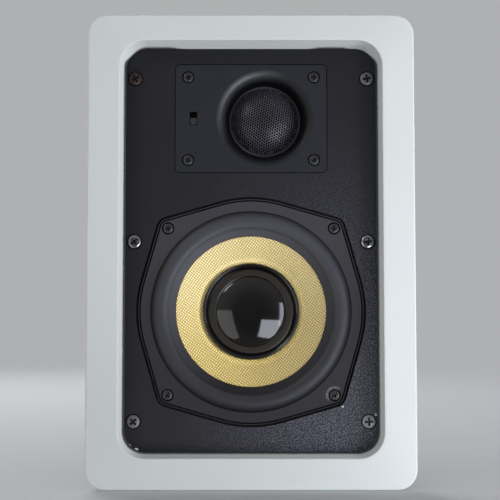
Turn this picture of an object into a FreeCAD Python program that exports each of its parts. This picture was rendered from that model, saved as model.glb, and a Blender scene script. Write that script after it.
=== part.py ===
import FreeCAD, Part
import math
import os
import re

import Sketcher
from FreeCAD import Placement, Rotation, Vector

# In-wall loudspeaker. Millimetres, +Z up, the front faces -Y. The origin is the middle of the bezel
# on the wall's plane. Each piece is drawn as seen from the front: its own X is to the right, its own Y
# is up, and its own Z comes out of the wall, so a depth behind the wall's plane is a negative level.

DRIVING = (
    ("flange_side", 20.9, "bezel: width of the flange at each side"),
    ("flange_top", 16.9, "bezel: width of the flange at the top"),
    ("flange_bottom", 20.1, "bezel: width of the flange at the bottom"),
    ("flange_edge", 4.2, "bezel: thickness at the outer edge"),
    ("flange_crown", 1.4, "bezel: rise from the outer edge to the lip"),
    ("frame_corner", 13, "bezel: radius of the outer corners"),
    ("edge_round", 1.2, "bezel: rounding of the outer edge"),
    ("lip_land", 1.4, "bezel: flat land along the lip"),
    ("lip_round", 0.6, "bezel: rounding of the lip"),
    ("lip_draft", 2.8, "bezel: how far the sunk wall leans in"),
    ("recess_depth", 13, "bezel: lip to baffle"),
    ("foot_corner", 13.7, "bezel: corner radius at the foot of the sunk wall"),
    ("skirt_wall", 2.2, "bezel: wall round the baffle's edge"),
    ("seat_gap", 0.2, "clearance round a piece seated in a recess"),
    ("baffle_thick", 3, "baffle: plate"),
    ("baffle_lap", 2, "baffle: lap behind the sunk wall"),
    ("side_margin", 7.2, "baffle: woofer recess to the side wall"),
    ("bottom_margin", 15.6, "baffle: woofer recess to the bottom wall"),
    ("driver_gap", 16.3, "baffle: woofer recess to the tweeter plate"),
    ("top_margin", 10.7, "baffle: tweeter plate to the top wall"),
    ("tray_wall", 1.6, "baffle: wall round a driver's tray"),
    ("tray_floor", 2.4, "baffle: floor of a driver's tray"),
    ("boss_wall", 2.6, "baffle: wall of a screw boss"),
    ("boss_length", 9, "baffle: length of a screw boss"),
    ("rib_thick", 2, "baffle: stiffening rib"),
    ("rib_height", 5, "baffle: height of the rib"),
    ("rib_inset", 19.5, "baffle: side wall to the rib"),
    ("rib_margin", 4.2, "baffle: top and bottom walls to the rib"),
    ("woofer_radius", 73.3, "woofer: round part of the flange"),
    ("woofer_gap", 1.6, "woofer: gap round the flange"),
    ("ear_reach", 3.4, "woofer: ear centre beyond the round part"),
    ("ear_radius", 6.2, "woofer: ear"),
    ("woofer_flange", 2.6, "woofer: flange thickness"),
    ("groove_inset", 0.4, "woofer: flange's edge to the groove along it"),
    ("groove_width", 1.1, "woofer: groove along the flange's edge"),
    ("groove_depth", 0.9, "woofer: groove along the flange's edge"),
    ("gasket_thick", 0.8, "woofer: gasket under the flange"),
    ("gasket_inset", 0.8, "woofer: gasket in from the flange's edges"),
    ("flange_ring", 8, "woofer: flange from the surround to its edge"),
    ("ledge_drop", 1.4, "woofer: step that the surround sits in"),
    ("ledge_width", 3.6, "woofer: ledge under the surround"),
    ("basket_wall", 2, "woofer: basket wall"),
    ("basket_lip", 3.6, "woofer: straight collar of the basket"),
    ("basket_gap", 0.8, "woofer: basket collar to the baffle's hole"),
    ("window_count", 8, "woofer: basket windows"),
    ("window_angle", 28, "woofer: width of a window in degrees"),
    ("window_margin", 3, "woofer: solid wall above and below a window"),
    ("skin", 0.8, "woofer: surround rubber"),
    ("roll_width", 11.4, "woofer: half roll of the surround"),
    ("roll_height", 3.8, "woofer: height of the half roll"),
    ("roll_foot", 1.4, "woofer: glued foot of the surround"),
    ("land_width", 4.9, "woofer: surround glued on the cone"),
    ("rim_inset", 1, "woofer: cone rim to the half roll"),
    ("cone_depth", 22, "woofer: depth of the cone"),
    ("cone_thick", 1, "woofer: cone"),
    ("cap_radius", 31.9, "dust cap: outer edge"),
    ("cap_foot", 1.6, "dust cap: glued foot"),
    ("cap_skin", 0.9, "dust cap: wall"),
    ("collar_width", 5, "dust cap: rounded collar"),
    ("collar_rise", 3.4, "dust cap: height of the collar"),
    ("collar_fall", 1.1333, "dust cap: fall from the collar's top to the valley's edge"),
    ("collar_outer_bend", 2.04, "dust cap: outer curve of the collar"),
    ("collar_inner_bend", 4.76, "dust cap: inner curve of the collar"),
    ("valley_width", 3.8, "dust cap: valley inside the collar"),
    ("valley_drop", 1.6, "dust cap: collar to the valley's floor"),
    ("dome_rise", 5.2, "dust cap: height of the dome"),
    ("former_radius", 12.6, "voice coil: inside of the former"),
    ("former_wall", 0.4, "voice coil: former"),
    ("coil_wall", 0.7, "voice coil: winding"),
    ("coil_length", 12, "voice coil: length of the winding"),
    ("air_gap", 0.6, "voice coil: gap to the pole and the top plate"),
    ("spider_drop", 3.2, "spider: below the neck of the cone"),
    ("spider_skin", 0.6, "spider: cloth"),
    ("spider_span", 28, "spider: former to its outer edge"),
    ("spider_rim", 3.5, "spider: glued rim"),
    ("spider_waves", 4, "spider: whole waves"),
    ("wave_height", 1.5, "spider: height of a half wave"),
    ("shelf_drop", 8, "woofer: spider shelf to the basket floor"),
    ("floor_ring", 15, "woofer: width of the basket floor"),
    ("plate_margin", 1, "woofer: basket floor's edge to the top plate's edge"),
    ("top_plate_thick", 5, "woofer: top plate"),
    ("magnet_radius", 45, "woofer: magnet"),
    ("magnet_bore", 22, "woofer: bore of the magnet"),
    ("magnet_length", 14, "woofer: magnet"),
    ("yoke_radius", 40, "woofer: yoke plate"),
    ("yoke_thick", 5, "woofer: yoke plate"),
    ("vent_radius", 4, "woofer: vent through the pole"),
    ("strip_width", 22, "woofer: terminal strip"),
    ("strip_length", 15, "woofer: terminal strip"),
    ("strip_thick", 1.6, "woofer: terminal strip"),
    ("tab_width", 5, "woofer: terminal tab"),
    ("tab_length", 8, "woofer: terminal tab"),
    ("tab_thick", 0.8, "woofer: terminal tab"),
    ("tab_pitch", 11, "woofer: between the two tabs"),
    ("plate_width", 99.4, "tweeter: plate"),
    ("plate_height", 71.2, "tweeter: plate"),
    ("plate_thick", 3, "tweeter: plate"),
    ("plate_corner", 3, "tweeter: corner of the plate"),
    ("plate_gap", 0.5, "tweeter: gap round the plate"),
    ("horn_offset", 9.2, "tweeter: waveguide right of the plate's middle"),
    ("horn_radius", 32.4, "tweeter: mouth of the waveguide"),
    ("horn_depth", 13, "tweeter: mouth to mesh"),
    ("horn_bend", 6.4, "tweeter: rounding of the mouth"),
    ("horn_turn", 77, "tweeter: angle in degrees that the rounding turns through"),
    ("horn_ease", 1.06, "tweeter: flattening of the rounding"),
    ("horn_wall", 0.8, "tweeter: wall behind the mouth"),
    ("horn_seat", 2, "tweeter: floor under the mesh"),
    ("throat_radius", 22.8, "tweeter: throat under the mesh"),
    ("mesh_radius", 23.9, "tweeter mesh: edge"),
    ("mesh_rise", 11.5, "tweeter mesh: height of its dome"),
    ("mesh_sheet", 0.6, "tweeter mesh: sheet"),
    ("mesh_pitch", 4.4, "tweeter mesh: between holes"),
    ("mesh_hole", 1.35, "tweeter mesh: radius of a hole"),
    ("mesh_rings", 4, "tweeter mesh: rings of holes"),
    ("tweeter_skin", 0.6, "tweeter dome: cloth"),
    ("tweeter_rise", 4.6, "tweeter dome: height"),
    ("tweeter_radius", 13.2, "tweeter dome: radius"),
    ("tweeter_roll", 2.6, "tweeter dome: half roll round it"),
    ("tweeter_roll_rise", 1, "tweeter dome: height of the half roll"),
    ("tweeter_rim", 7, "tweeter dome: clamped rim"),
    ("tweeter_coil_wall", 0.6, "tweeter coil"),
    ("tweeter_coil_length", 4.4, "tweeter coil"),
    ("tweeter_plate_radius", 25, "tweeter: top plate and magnet"),
    ("tweeter_plate_thick", 3, "tweeter: top plate"),
    ("tweeter_magnet_bore", 16.5, "tweeter: bore of the magnet"),
    ("tweeter_magnet_length", 7, "tweeter: magnet"),
    ("tweeter_yoke_radius", 24, "tweeter: yoke plate"),
    ("tweeter_yoke_thick", 4, "tweeter: yoke plate"),
    ("woofer_shank", 1.9, "woofer screw: shank radius"),
    ("woofer_head", 3.3, "woofer screw: head radius"),
    ("woofer_sink", 4.1, "woofer screw: radius of the sunk seat"),
    ("woofer_sink_depth", 1.4, "woofer screw: depth of the sunk seat"),
    ("tweeter_shank", 1.5, "tweeter screw: shank radius"),
    ("tweeter_head", 3.3, "tweeter screw: head radius"),
    ("tweeter_sink", 4.2, "tweeter screw: radius of the sunk seat"),
    ("tweeter_sink_depth", 1.6, "tweeter screw: depth of the sunk seat"),
    ("tweeter_screw_x", 41.4, "tweeter screw: from the plate's middle"),
    ("tweeter_screw_y", 27.5, "tweeter screw: from the plate's middle"),
    ("head_height", 1.5, "screws: head height"),
    ("screw_gap", 0.1, "screws: clearance round a shank"),
    ("switch_left", 37.9, "switch: left of the plate's middle"),
    ("slot_width", 5, "switch: slot in the plate"),
    ("slot_height", 9, "switch: slot in the plate"),
    ("slider_height", 4.6, "switch: slider"),
    ("slider_gap", 0.4, "switch: slider to the slot's edges"),
    ("slider_sink", 1.2, "switch: slider below the plate's face"),
    ("slider_tail", 4.5, "switch: slider behind the plate"),
    ("switch_wall", 2, "switch: wall of its body"),
    ("switch_depth", 6.5, "switch: body behind the plate"),
    ("switch_room", 0.6, "switch: body to the hole in the baffle"),
    ("board_width", 122, "crossover: board"),
    ("board_height", 32, "crossover: board"),
    ("board_thick", 1.6, "crossover: board"),
    ("board_right", 3, "crossover: board right of the middle"),
    ("board_drop", 2.6, "crossover: below the tweeter's magnet"),
    ("board_inset", 3.5, "crossover: pillar to the board's edge"),
    ("pillar_radius", 3.5, "crossover: pillar"),
    ("pillar_length", 21, "crossover: pillar"),
    ("board_shank", 1.2, "board screw: shank radius"),
    ("board_head", 2.6, "board screw: head radius"),
    ("board_screw", 9, "board screw: length"),
    ("large_coil", 13.5, "large inductor: radius"),
    ("large_coil_length", 14, "large inductor: length"),
    ("coil_margin", 6, "large inductor: winding to the board's left edge"),
    ("small_coil", 9.5, "small inductor: radius"),
    ("small_coil_length", 10, "small inductor: length"),
    ("bobbin_core", 5, "inductors: radius of the bobbin's core"),
    ("bobbin_bore", 3, "inductors: bore of the bobbin"),
    ("bobbin_cheek", 1.2, "inductors: cheek of the bobbin"),
    ("cheek_reach", 0.8, "inductors: cheek beyond the winding"),
    ("part_gap", 3, "crossover: between parts on the board"),
    ("large_can", 5.5, "large capacitor: radius"),
    ("small_can", 4.5, "small capacitor: radius"),
    ("can_length", 22, "capacitors: length"),
    ("can_gap", 1, "capacitors: to the next part below"),
    ("can_margin", 2, "capacitors: to the board's top edge"),
    ("can_round", 1, "capacitors: rounded ends"),
    ("resistor_height", 5.4, "resistor: height and depth"),
    ("terminal_width", 27, "terminals: housing"),
    ("terminal_height", 28, "terminals: housing"),
    ("terminal_depth", 12, "terminals: housing"),
    ("terminal_round", 1.2, "terminals: edges of the housing"),
    ("button_width", 8, "terminals: button"),
    ("button_height", 9, "terminals: button"),
    ("button_rise", 3.5, "terminals: button beyond the housing"),
    ("button_well", 8, "terminals: depth of a button's well"),
    ("button_stroke", 2.5, "terminals: travel of a button"),
    ("button_gap", 0.3, "terminals: clearance round a button"),
    ("button_pitch", 13, "terminals: between the two buttons"),
    ("button_lift", 6, "terminals: buttons above the housing's middle"),
    ("wire_radius", 1.6, "terminals: wire hole"),
    ("wire_depth", 9, "terminals: depth of a wire hole"),
    ("wire_drop", 7, "terminals: wire holes below the housing's middle"),
    ("contact_thick", 0.5, "terminals: contact strip"),
    ("clamp_inset", 5.8, "clamps: screw to the side wall"),
    ("clamp_top", 20, "clamps: top pair below the top wall"),
    ("clamp_rise", 45.4, "clamps: middle pair above the woofer's middle"),
    ("clamp_bottom", 19.3, "clamps: bottom pair above the bottom wall"),
    ("clamp_shank", 2.25, "clamps: screw"),
    ("clamp_head", 4.5, "clamps: screw head"),
    ("clamp_head_height", 2.2, "clamps: screw head"),
    ("clamp_sink", 5, "clamps: sunk seat of the head"),
    ("clamp_sink_depth", 1, "clamps: sunk seat of the head"),
    ("clamp_gap", 0.15, "clamps: running clearance"),
    ("wall_least", 12, "clamps: thinnest wall"),
    ("clamp_travel", 18, "clamps: travel of the nut"),
    ("dog_length", 9, "clamps: hub of the dog"),
    ("dog_hub", 5.3, "clamps: hub of the dog"),
    ("dog_reach", 19.4, "clamps: screw to the tip of the dog"),
    ("dog_width", 7, "clamps: arm of the dog"),
    ("dog_thick", 6, "clamps: arm of the dog"),
    ("dog_tooth", 1, "clamps: teeth on the arm"),
    ("dog_grooves", 3, "clamps: grooves between the teeth"),
    ("nut_flange", 5.4, "clamps: flange of the nut"),
    ("nut_thick", 3.2, "clamps: flange of the nut"),
    ("nut_collar", 3.6, "clamps: collar that the dog turns on"),
    ("nut_collar_length", 6, "clamps: collar that the dog turns on"),
    ("nut_tab", 3, "clamps: width of the nut's tab"),
    ("post_gap", 0.4, "clamps: nut to the guide post"),
    ("post_wall", 2, "clamps: guide post"),
    ("post_tail", 1.6, "clamps: post beyond the nut"),
    ("screw_tail", 4, "clamps: screw beyond the nut"),
)

FOLLOWING = (
    ("recess_radius", "=woofer_radius + woofer_gap", "woofer recess"),
    ("foot_width", "=2 * (recess_radius + side_margin)", "foot of the sunk wall"),
    (
        "foot_height",
        "=bottom_margin + 2 * recess_radius + driver_gap + plate_height + top_margin",
        "foot of the sunk wall",
    ),
    ("lip_width", "=foot_width + 2 * lip_draft", "lip of the bezel"),
    ("lip_height", "=foot_height + 2 * lip_draft", "lip of the bezel"),
    ("frame_width", "=lip_width + 2 * flange_side", "bezel, outside"),
    ("frame_height", "=lip_height + flange_top + flange_bottom", "bezel, outside"),
    ("opening_y", "=(flange_bottom - flange_top) / 2", "middle of the opening"),
    ("foot_low", "=opening_y - foot_height / 2", "foot of the bottom wall"),
    ("foot_high", "=opening_y + foot_height / 2", "foot of the top wall"),
    ("panel_width", "=foot_width + 2 * baffle_lap", "baffle, outside"),
    ("panel_height", "=foot_height + 2 * baffle_lap", "baffle, outside"),
    ("panel_corner", "=foot_corner + baffle_lap", "baffle corner"),
    ("skirt_grow", "=2 * (seat_gap + skirt_wall)", "skirt beyond the baffle"),
    ("lip_level", "=flange_edge + flange_crown", "front of the lip"),
    ("face", "=lip_level - recess_depth", "front of the baffle"),
    ("back", "=face - baffle_thick", "back of the baffle"),
    ("woofer_y", "=foot_low + bottom_margin + recess_radius", "woofer axis"),
    ("plate_y", "=foot_high - top_margin - plate_height / 2", "middle of the tweeter plate"),
    ("ear_place", "=(woofer_radius + ear_reach) / sqrt(2)", "ear centre, across and up"),
    ("ear_lean", "=acos((woofer_radius - ear_radius) / (woofer_radius + ear_reach))", "tangent"),
    ("woofer_floor", "=face - woofer_flange - gasket_thick", "floor of the woofer recess"),
    ("woofer_tray", "=woofer_floor - tray_floor", "back of the woofer tray"),
    ("plate_floor", "=face - plate_thick", "floor of the tweeter recess"),
    ("plate_tray", "=plate_floor - tray_floor", "back of the tweeter tray"),
    ("surround_radius", "=woofer_radius - flange_ring", "outside of the surround"),
    ("step_radius", "=surround_radius + seat_gap", "step round the surround"),
    ("collar_inner", "=step_radius - ledge_width", "inside of the basket collar"),
    ("collar_outer", "=collar_inner + basket_wall", "outside of the basket collar"),
    ("woofer_hole", "=collar_outer + basket_gap", "hole in the baffle"),
    ("seat", "=face - ledge_drop", "underside of the surround"),
    ("collar_end", "=seat - basket_lip", "end of the straight collar"),
    ("roll_inner", "=surround_radius - roll_width", "inside of the half roll"),
    ("land_inner", "=roll_inner - land_width", "inside of the surround"),
    ("cone_rim", "=roll_inner - rim_inset", "outside of the cone"),
    ("former_outer", "=former_radius + former_wall", "outside of the former"),
    ("coil_outer", "=former_outer + coil_wall", "outside of the winding"),
    ("neck", "=seat - cone_depth", "front of the cone's neck"),
    ("slope", "=cone_depth / (land_inner - former_outer)", "fall of the cone"),
    ("cap_seat", "=seat - (land_inner - cap_radius) * slope", "dust cap on the cone"),
    ("shelf", "=neck - cone_thick - spider_drop", "spider shelf of the basket"),
    ("spider_radius", "=former_outer + spider_span", "outside of the spider"),
    ("shelf_outer", "=spider_radius + 2 * seat_gap", "inside of the wall at the shelf"),
    ("shelf_inner", "=spider_radius - spider_rim", "inside of the spider shelf"),
    ("basket_floor", "=shelf - shelf_drop", "front of the basket floor"),
    ("top_plate", "=basket_floor - basket_wall", "front of the top plate"),
    ("magnet", "=top_plate - top_plate_thick", "front of the magnet"),
    ("yoke", "=magnet - magnet_length", "front of the yoke plate"),
    ("yoke_back", "=yoke - yoke_thick", "back of the woofer"),
    ("floor_outer", "=shelf_inner + basket_wall", "outside of the basket floor"),
    ("coil_middle", "=top_plate - top_plate_thick / 2", "middle of the winding"),
    ("coil_end", "=coil_middle - coil_length / 2", "back of the winding"),
    ("horn_back", "=face - horn_depth - horn_seat", "back of the waveguide"),
    ("horn_outer", "=horn_radius + horn_wall", "outside of the waveguide"),
    ("flare_foot", "=mesh_radius + seat_gap", "foot of the waveguide's flare"),
    ("bend_radius", "=horn_radius - horn_bend * sin(horn_turn * 1 deg)", "foot of the mouth's rounding"),
    ("bend_drop", "=horn_bend * (1 - cos(horn_turn * 1 deg))", "depth of the mouth's rounding"),
    ("dome_edge", "=tweeter_radius + tweeter_roll", "outside of the half roll"),
    ("tweeter_rear", "=horn_back - tweeter_skin", "front of the tweeter's top plate"),
    ("tweeter_coil_outer", "=tweeter_radius", "outside of the tweeter coil"),
    ("tweeter_coil_inner", "=tweeter_radius - tweeter_coil_wall", "inside of the tweeter coil"),
    ("tweeter_magnet", "=tweeter_rear - tweeter_plate_thick", "front of the tweeter magnet"),
    ("tweeter_yoke", "=tweeter_magnet - tweeter_magnet_length", "front of the tweeter yoke"),
    ("switch_width", "=slot_width + 2 * switch_wall", "switch body"),
    ("switch_height", "=slot_height + 2 * switch_wall", "switch body"),
    ("switch_travel", "=slot_height - slider_height - 2 * slider_gap", "switch travel"),
    ("board_front", "=back - pillar_length", "front of the board"),
    ("board_back", "=board_front - board_thick", "back of the board"),
    ("board_y", "=plate_y - tweeter_plate_radius - board_drop - board_height / 2", "board"),
    ("cans_top", "=board_y + board_height / 2 - can_margin", "top of the capacitors"),
    ("board_left", "=board_right - board_width / 2", "left edge of the board"),
    ("pillar_x", "=board_width / 2 - board_inset", "pillars, from the board's middle"),
    ("pillar_y", "=board_height / 2 - board_inset", "pillars, from the board's middle"),
    ("large_coil_x", "=board_left + coil_margin + large_coil", "large inductor"),
    ("small_coil_x", "=large_coil_x + large_coil + part_gap + small_coil", "small inductor"),
    ("cans_x", "=small_coil_x + small_coil + part_gap + can_length / 2", "capacitors"),
    ("terminal_x", "=cans_x + can_length / 2 + part_gap + terminal_width / 2", "terminals"),
    ("terminal_back", "=board_back - terminal_depth", "back of the terminals"),
    ("clamp_x", "=foot_width / 2 - clamp_inset", "clamps"),
    ("clamp_high_y", "=foot_high - clamp_top", "top clamps"),
    ("clamp_middle_y", "=woofer_y + clamp_rise", "middle clamps"),
    ("clamp_low_y", "=foot_low + clamp_bottom", "bottom clamps"),
    ("dog_face", "=-(wall_least + clamp_travel)", "clamping face at rest"),
    ("nut_face", "=dog_face - dog_length - clamp_gap", "front of the nut's flange"),
    ("nut_back", "=nut_face - nut_thick", "back of the nut"),
    ("post_inner", "=nut_flange + post_gap", "inside of the guide post"),
    ("post_outer", "=post_inner + post_wall", "outside of the guide post"),
    ("post_stop", "=asin((dog_width / 2 + post_gap) / post_inner)", "post's end to the arm's middle"),
    ("post_slot", "=asin((nut_tab / 2 + post_gap) / post_inner)", "half of the slot for the tab"),
)

ALIASES = {row[0] for row in DRIVING + FOLLOWING}
FRONT = Rotation(Vector(1, 0, 0), 90)
EAR_SIGNS = ((1, 1), (-1, 1), (-1, -1), (1, -1))
CLAMP_ROWS = (("top", "clamp_high_y"), ("middle", "clamp_middle_y"), ("bottom", "clamp_low_y"))
CLAMP_SIDES = (("right", "clamp_x", 0), ("left", "-clamp_x", 180))

doc = FreeCAD.newDocument("InWallSpeaker")
sheet = doc.addObject("Spreadsheet::Sheet", "Sizes")
for row, (alias, size, note) in enumerate(DRIVING + FOLLOWING, start=1):
    sheet.set(f"A{row}", note)
    sheet.set(f"B{row}", str(size))
    sheet.setAlias(f"B{row}", alias)
doc.recompute()

pieces = []


# Sizes and ties

def value(expression):
    """The number that an expression on the sheet's sizes gives now."""
    result = sheet.evalExpression(expression)
    return float(getattr(result, "Value", result))


def tie(item, slot, expression):
    """Bind a property to an expression on the sheet's sizes."""
    item.setExpression(slot, re.sub(r"[a-z_]+", cell_of, expression))


def cell_of(word):
    """A size's name as other objects call it."""
    return f"Sizes.{word[0]}" if word[0] in ALIASES else word[0]


# Bodies and sketches

def new_body(label, x="0", y="0", turn=0):
    """A piece with its own axis at x, y as seen from the front, turned about that axis."""
    body = doc.addObject("PartDesign::Body", label)
    body.Label = label
    body.Placement = Placement(Vector(), FRONT.multiply(Rotation(Vector(0, 0, 1), turn)))
    tie(body, "Placement.Base.x", x)
    tie(body, "Placement.Base.z", y)
    pieces.append(body)
    return body


def new_sketch(body, level="0", plane="XY_Plane"):
    """A sketch on one of the body's own planes, lifted to a level."""
    sketch = body.newObject("Sketcher::SketchObject", f"{body.Name}_sketch")
    role = next(item for item in body.Origin.OriginFeatures if item.Role == plane)
    sketch.AttachmentSupport = [(role, "")]
    sketch.MapMode = "FlatFace"
    tie(sketch, "AttachmentOffset.Base.z", level)
    return sketch


def measure(sketch, kind, expression, *places):
    """A dimension of a sketch, bound to the sheet."""
    index = sketch.addConstraint(Sketcher.Constraint(kind, *places, value(expression)))
    tie(sketch, f"Constraints[{index}]", expression)


def pin(sketch, edge, end, x, y):
    """Hold a point of an edge at x, y."""
    measure(sketch, "DistanceX", x, -1, 1, edge, end)
    measure(sketch, "DistanceY", y, -1, 1, edge, end)


def arc_between(here, there, radius, turn):
    """The short arc from one point to another, bending to the left or to the right."""
    chord = there - here
    rise = math.sqrt(max(radius**2 - chord.Length**2 / 4, 0))
    side = Vector(-chord.y, chord.x, 0).normalize() * (rise if turn == "left" else -rise)
    middle = here + chord / 2 + side
    start, end = (here, there) if turn == "left" else (there, here)
    angles = [math.atan2(point.y - middle.y, point.x - middle.x) for point in (start, end)]
    return Part.ArcOfCircle(Part.Circle(middle, Vector(0, 0, 1), radius), *angles)


def draw(sketch, corners):
    """A closed outline. The edge that leaves a corner (x, y, turn, radius) is an arc."""
    points = [Vector(value(corner[0]), value(corner[1]), 0) for corner in corners]
    edges = []
    for corner, here, there in zip(corners, points, points[1:] + points[:1]):
        if len(corner) == 2:
            edges.append((sketch.addGeometry(Part.LineSegment(here, there)), 1, 2))
        else:
            turn, radius = corner[2:]
            arc = sketch.addGeometry(arc_between(here, there, value(radius), turn))
            edges.append((arc, 1, 2) if turn == "left" else (arc, 2, 1))
    for before, edge in zip(edges[-1:] + edges[:-1], edges):
        sketch.addConstraint(Sketcher.Constraint("Coincident", before[0], before[2], edge[0], edge[1]))
    for corner, edge in zip(corners, edges):
        pin(sketch, edge[0], edge[1], corner[0], corner[1])
        if len(corner) > 2:
            measure(sketch, "Radius", corner[3], edge[0])
    return sketch


def bend(chord, height):
    """The radius of the arc that rises by height over a chord."""
    return f"((({chord}) / 2)^2 + ({height})^2) / (2 * ({height}))"


def block(sketch, x, y, width, height):
    """A rectangle about x, y."""
    left, right = f"{x} - ({width}) / 2", f"{x} + ({width}) / 2"
    low, high = f"{y} - ({height}) / 2", f"{y} + ({height}) / 2"
    return draw(sketch, [(left, low), (right, low), (right, high), (left, high)])


def rounded(sketch, x, y, width, height, radius):
    """A rectangle about x, y with round corners."""
    left, right = f"{x} - ({width}) / 2", f"{x} + ({width}) / 2"
    low, high = f"{y} - ({height}) / 2", f"{y} + ({height}) / 2"
    return draw(sketch, [
        (f"{left} + {radius}", low),
        (f"{right} - ({radius})", low, "left", radius),
        (right, f"{low} + {radius}"),
        (right, f"{high} - ({radius})", "left", radius),
        (f"{right} - ({radius})", high),
        (f"{left} + {radius}", high, "left", radius),
        (left, f"{high} - ({radius})"),
        (left, f"{low} + {radius}", "left", radius),
    ])


def circle(sketch, x, y, radius):
    """A circle about x, y."""
    centre = Vector(value(x), value(y), 0)
    edge = sketch.addGeometry(Part.Circle(centre, Vector(0, 0, 1), value(radius)))
    pin(sketch, edge, 3, x, y)
    measure(sketch, "Radius", radius, edge)
    return sketch


def polar(x, y, radius, angle):
    """A point at a radius and an angle about x, y."""
    return f"{x} + ({radius}) * cos({angle})", f"{y} + ({radius}) * sin({angle})"


def sector(sketch, x, y, inner, outer, start, end):
    """A piece of a ring about x, y, from one angle to another."""
    return draw(sketch, [
        polar(x, y, inner, start),
        (*polar(x, y, outer, start), "left", outer),
        polar(x, y, outer, end),
        (*polar(x, y, inner, end), "right", inner),
    ])


def eared(sketch, y, grow):
    """The woofer's round outline with its four ears, grown outwards on every side."""
    disc, ear = f"woofer_radius + {grow}", f"ear_radius + {grow}"
    corners = []
    for quarter, (across, up) in enumerate(EAR_SIGNS):
        before, after = f"{45 + 90 * quarter} deg - ear_lean", f"{45 + 90 * quarter} deg + ear_lean"
        ear_x, ear_y = f"{across} * ear_place", f"{y} + {up} * ear_place"
        corners += [
            polar("0", y, disc, before),
            (*polar(ear_x, ear_y, ear, before), "left", ear),
            polar(ear_x, ear_y, ear, after),
            (*polar("0", y, disc, after), "left", disc),
        ]
    return draw(sketch, corners)


# Features

def pad(body, sketch, length):
    """Thicken a sketch towards the back."""
    feature = body.newObject("PartDesign::Pad", f"{body.Name}_pad")
    feature.Profile = sketch
    feature.Reversed = True
    tie(feature, "Length", length)
    return feature


def pocket(body, sketch, length, forward=False):
    """Cut a sketch towards the back, or towards the front."""
    doc.recompute()
    whole = body.Shape.Volume
    feature = body.newObject("PartDesign::Pocket", f"{body.Name}_pocket")
    feature.Profile = sketch
    feature.Reversed = forward
    tie(feature, "Length", length)
    check_cut(feature, whole)
    return feature


def revolve(body, corners, cut=False):
    """Turn a profile of (radius, level) corners about the body's axis, to add or to cut."""
    sketch = draw(new_sketch(body, plane="XZ_Plane"), corners)
    doc.recompute()
    whole = body.Shape.Volume if cut else 0
    kind = "Groove" if cut else "Revolution"
    feature = body.newObject(f"PartDesign::{kind}", f"{body.Name}_turned")
    feature.Profile = sketch
    feature.ReferenceAxis = (sketch, ["V_Axis"])
    feature.Angle = 360
    if cut:
        check_cut(feature, whole)
    return feature


def check_cut(feature, whole):
    """Stop if a cut took nothing away."""
    doc.recompute()
    if feature.Shape.Volume >= whole - 1e-6:
        raise ValueError(f"{feature.Label} cuts nothing")


def loft(body, lower, upper, cut=False):
    """Join two outlines, to add or to cut."""
    doc.recompute()
    whole = body.Shape.Volume
    kind = "SubtractiveLoft" if cut else "AdditiveLoft"
    feature = body.newObject(f"PartDesign::{kind}", f"{body.Name}_loft")
    feature.Profile = lower
    feature.Sections = [upper]
    feature.Ruled = True
    if cut:
        check_cut(feature, whole)
    return feature


def soften(body, radius, chosen, kind="Fillet"):
    """Round or chamfer the body's edges that a test picks."""
    doc.recompute()
    base = body.Tip
    edges = [f"Edge{number}" for number, edge in enumerate(base.Shape.Edges, start=1) if chosen(edge)]
    feature = body.newObject(f"PartDesign::{kind}", f"{body.Name}_{kind.lower()}")
    feature.Base = (base, edges)
    tie(feature, "Radius" if kind == "Fillet" else "Size", radius)
    return feature


def at_level(level):
    """A test for edges that lie at one level."""
    height = value(level)
    return lambda edge: all(abs(point.Z - height) < 1e-4 for point in edge.Vertexes)


def ring(label, y, inner, outer, front, length, x="0"):
    """A flat ring about an axis."""
    body = new_body(label, x, y)
    sketch = circle(new_sketch(body, front), "0", "0", outer)
    circle(sketch, "0", "0", inner)
    pad(body, sketch, length)
    return body


def screw_group(label, y, places, head, shank, seat_level, length):
    """Like screws as one group: heads forward of the level that they bear on, shanks behind it."""
    body = new_body(label, "0", y)
    heads = new_sketch(body, f"{seat_level} + head_height")
    shanks = new_sketch(body, seat_level)
    for x, up in places:
        circle(heads, x, up, head)
        circle(shanks, x, up, shank)
    pad(body, heads, "head_height")
    pad(body, shanks, length)
    return body


# Bezel and baffle

def bezel_frame():
    """White frame: a crowned flange on the wall and a sunk wall that leans in to the baffle."""
    body = new_body("bezel_frame")
    outer = rounded(new_sketch(body, "flange_edge"), "0", "0", "frame_width", "frame_height", "frame_corner")
    pad(body, outer, "flange_edge")
    edge = rounded(new_sketch(body, "flange_edge"), "0", "0", "frame_width", "frame_height", "frame_corner")
    crown = rounded(
        new_sketch(body, "lip_level"), "0", "opening_y",
        "lip_width + 2 * lip_land", "lip_height + 2 * lip_land", "foot_corner + lip_draft + lip_land",
    )
    loft(body, edge, crown)
    skirt = rounded(
        new_sketch(body), "0", "opening_y",
        "panel_width + skirt_grow", "panel_height + skirt_grow", "panel_corner + skirt_grow / 2",
    )
    pad(body, skirt, "-back")
    lip = rounded(
        new_sketch(body, "lip_level"), "0", "opening_y", "lip_width", "lip_height", "foot_corner + lip_draft"
    )
    foot = rounded(
        new_sketch(body, "face"), "0", "opening_y", "foot_width", "foot_height", "foot_corner"
    )
    loft(body, lip, foot, cut=True)
    rebate = rounded(
        new_sketch(body, "face"), "0", "opening_y",
        "panel_width + 2 * seat_gap", "panel_height + 2 * seat_gap", "panel_corner + seat_gap",
    )
    pocket(body, rebate, "baffle_thick")
    soften(body, "edge_round", at_level("flange_edge"))
    soften(body, "lip_round", at_level("lip_level"))


def clamp_places():
    """Name, place and turn of each clamp."""
    for row_name, y in CLAMP_ROWS:
        for side, x, turn in CLAMP_SIDES:
            yield f"{row_name}_{side}", x, y, turn


def ear_places(y):
    """The woofer's four screws."""
    return [(f"{across} * ear_place", f"{y} + {up} * ear_place") for across, up in EAR_SIGNS]


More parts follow.
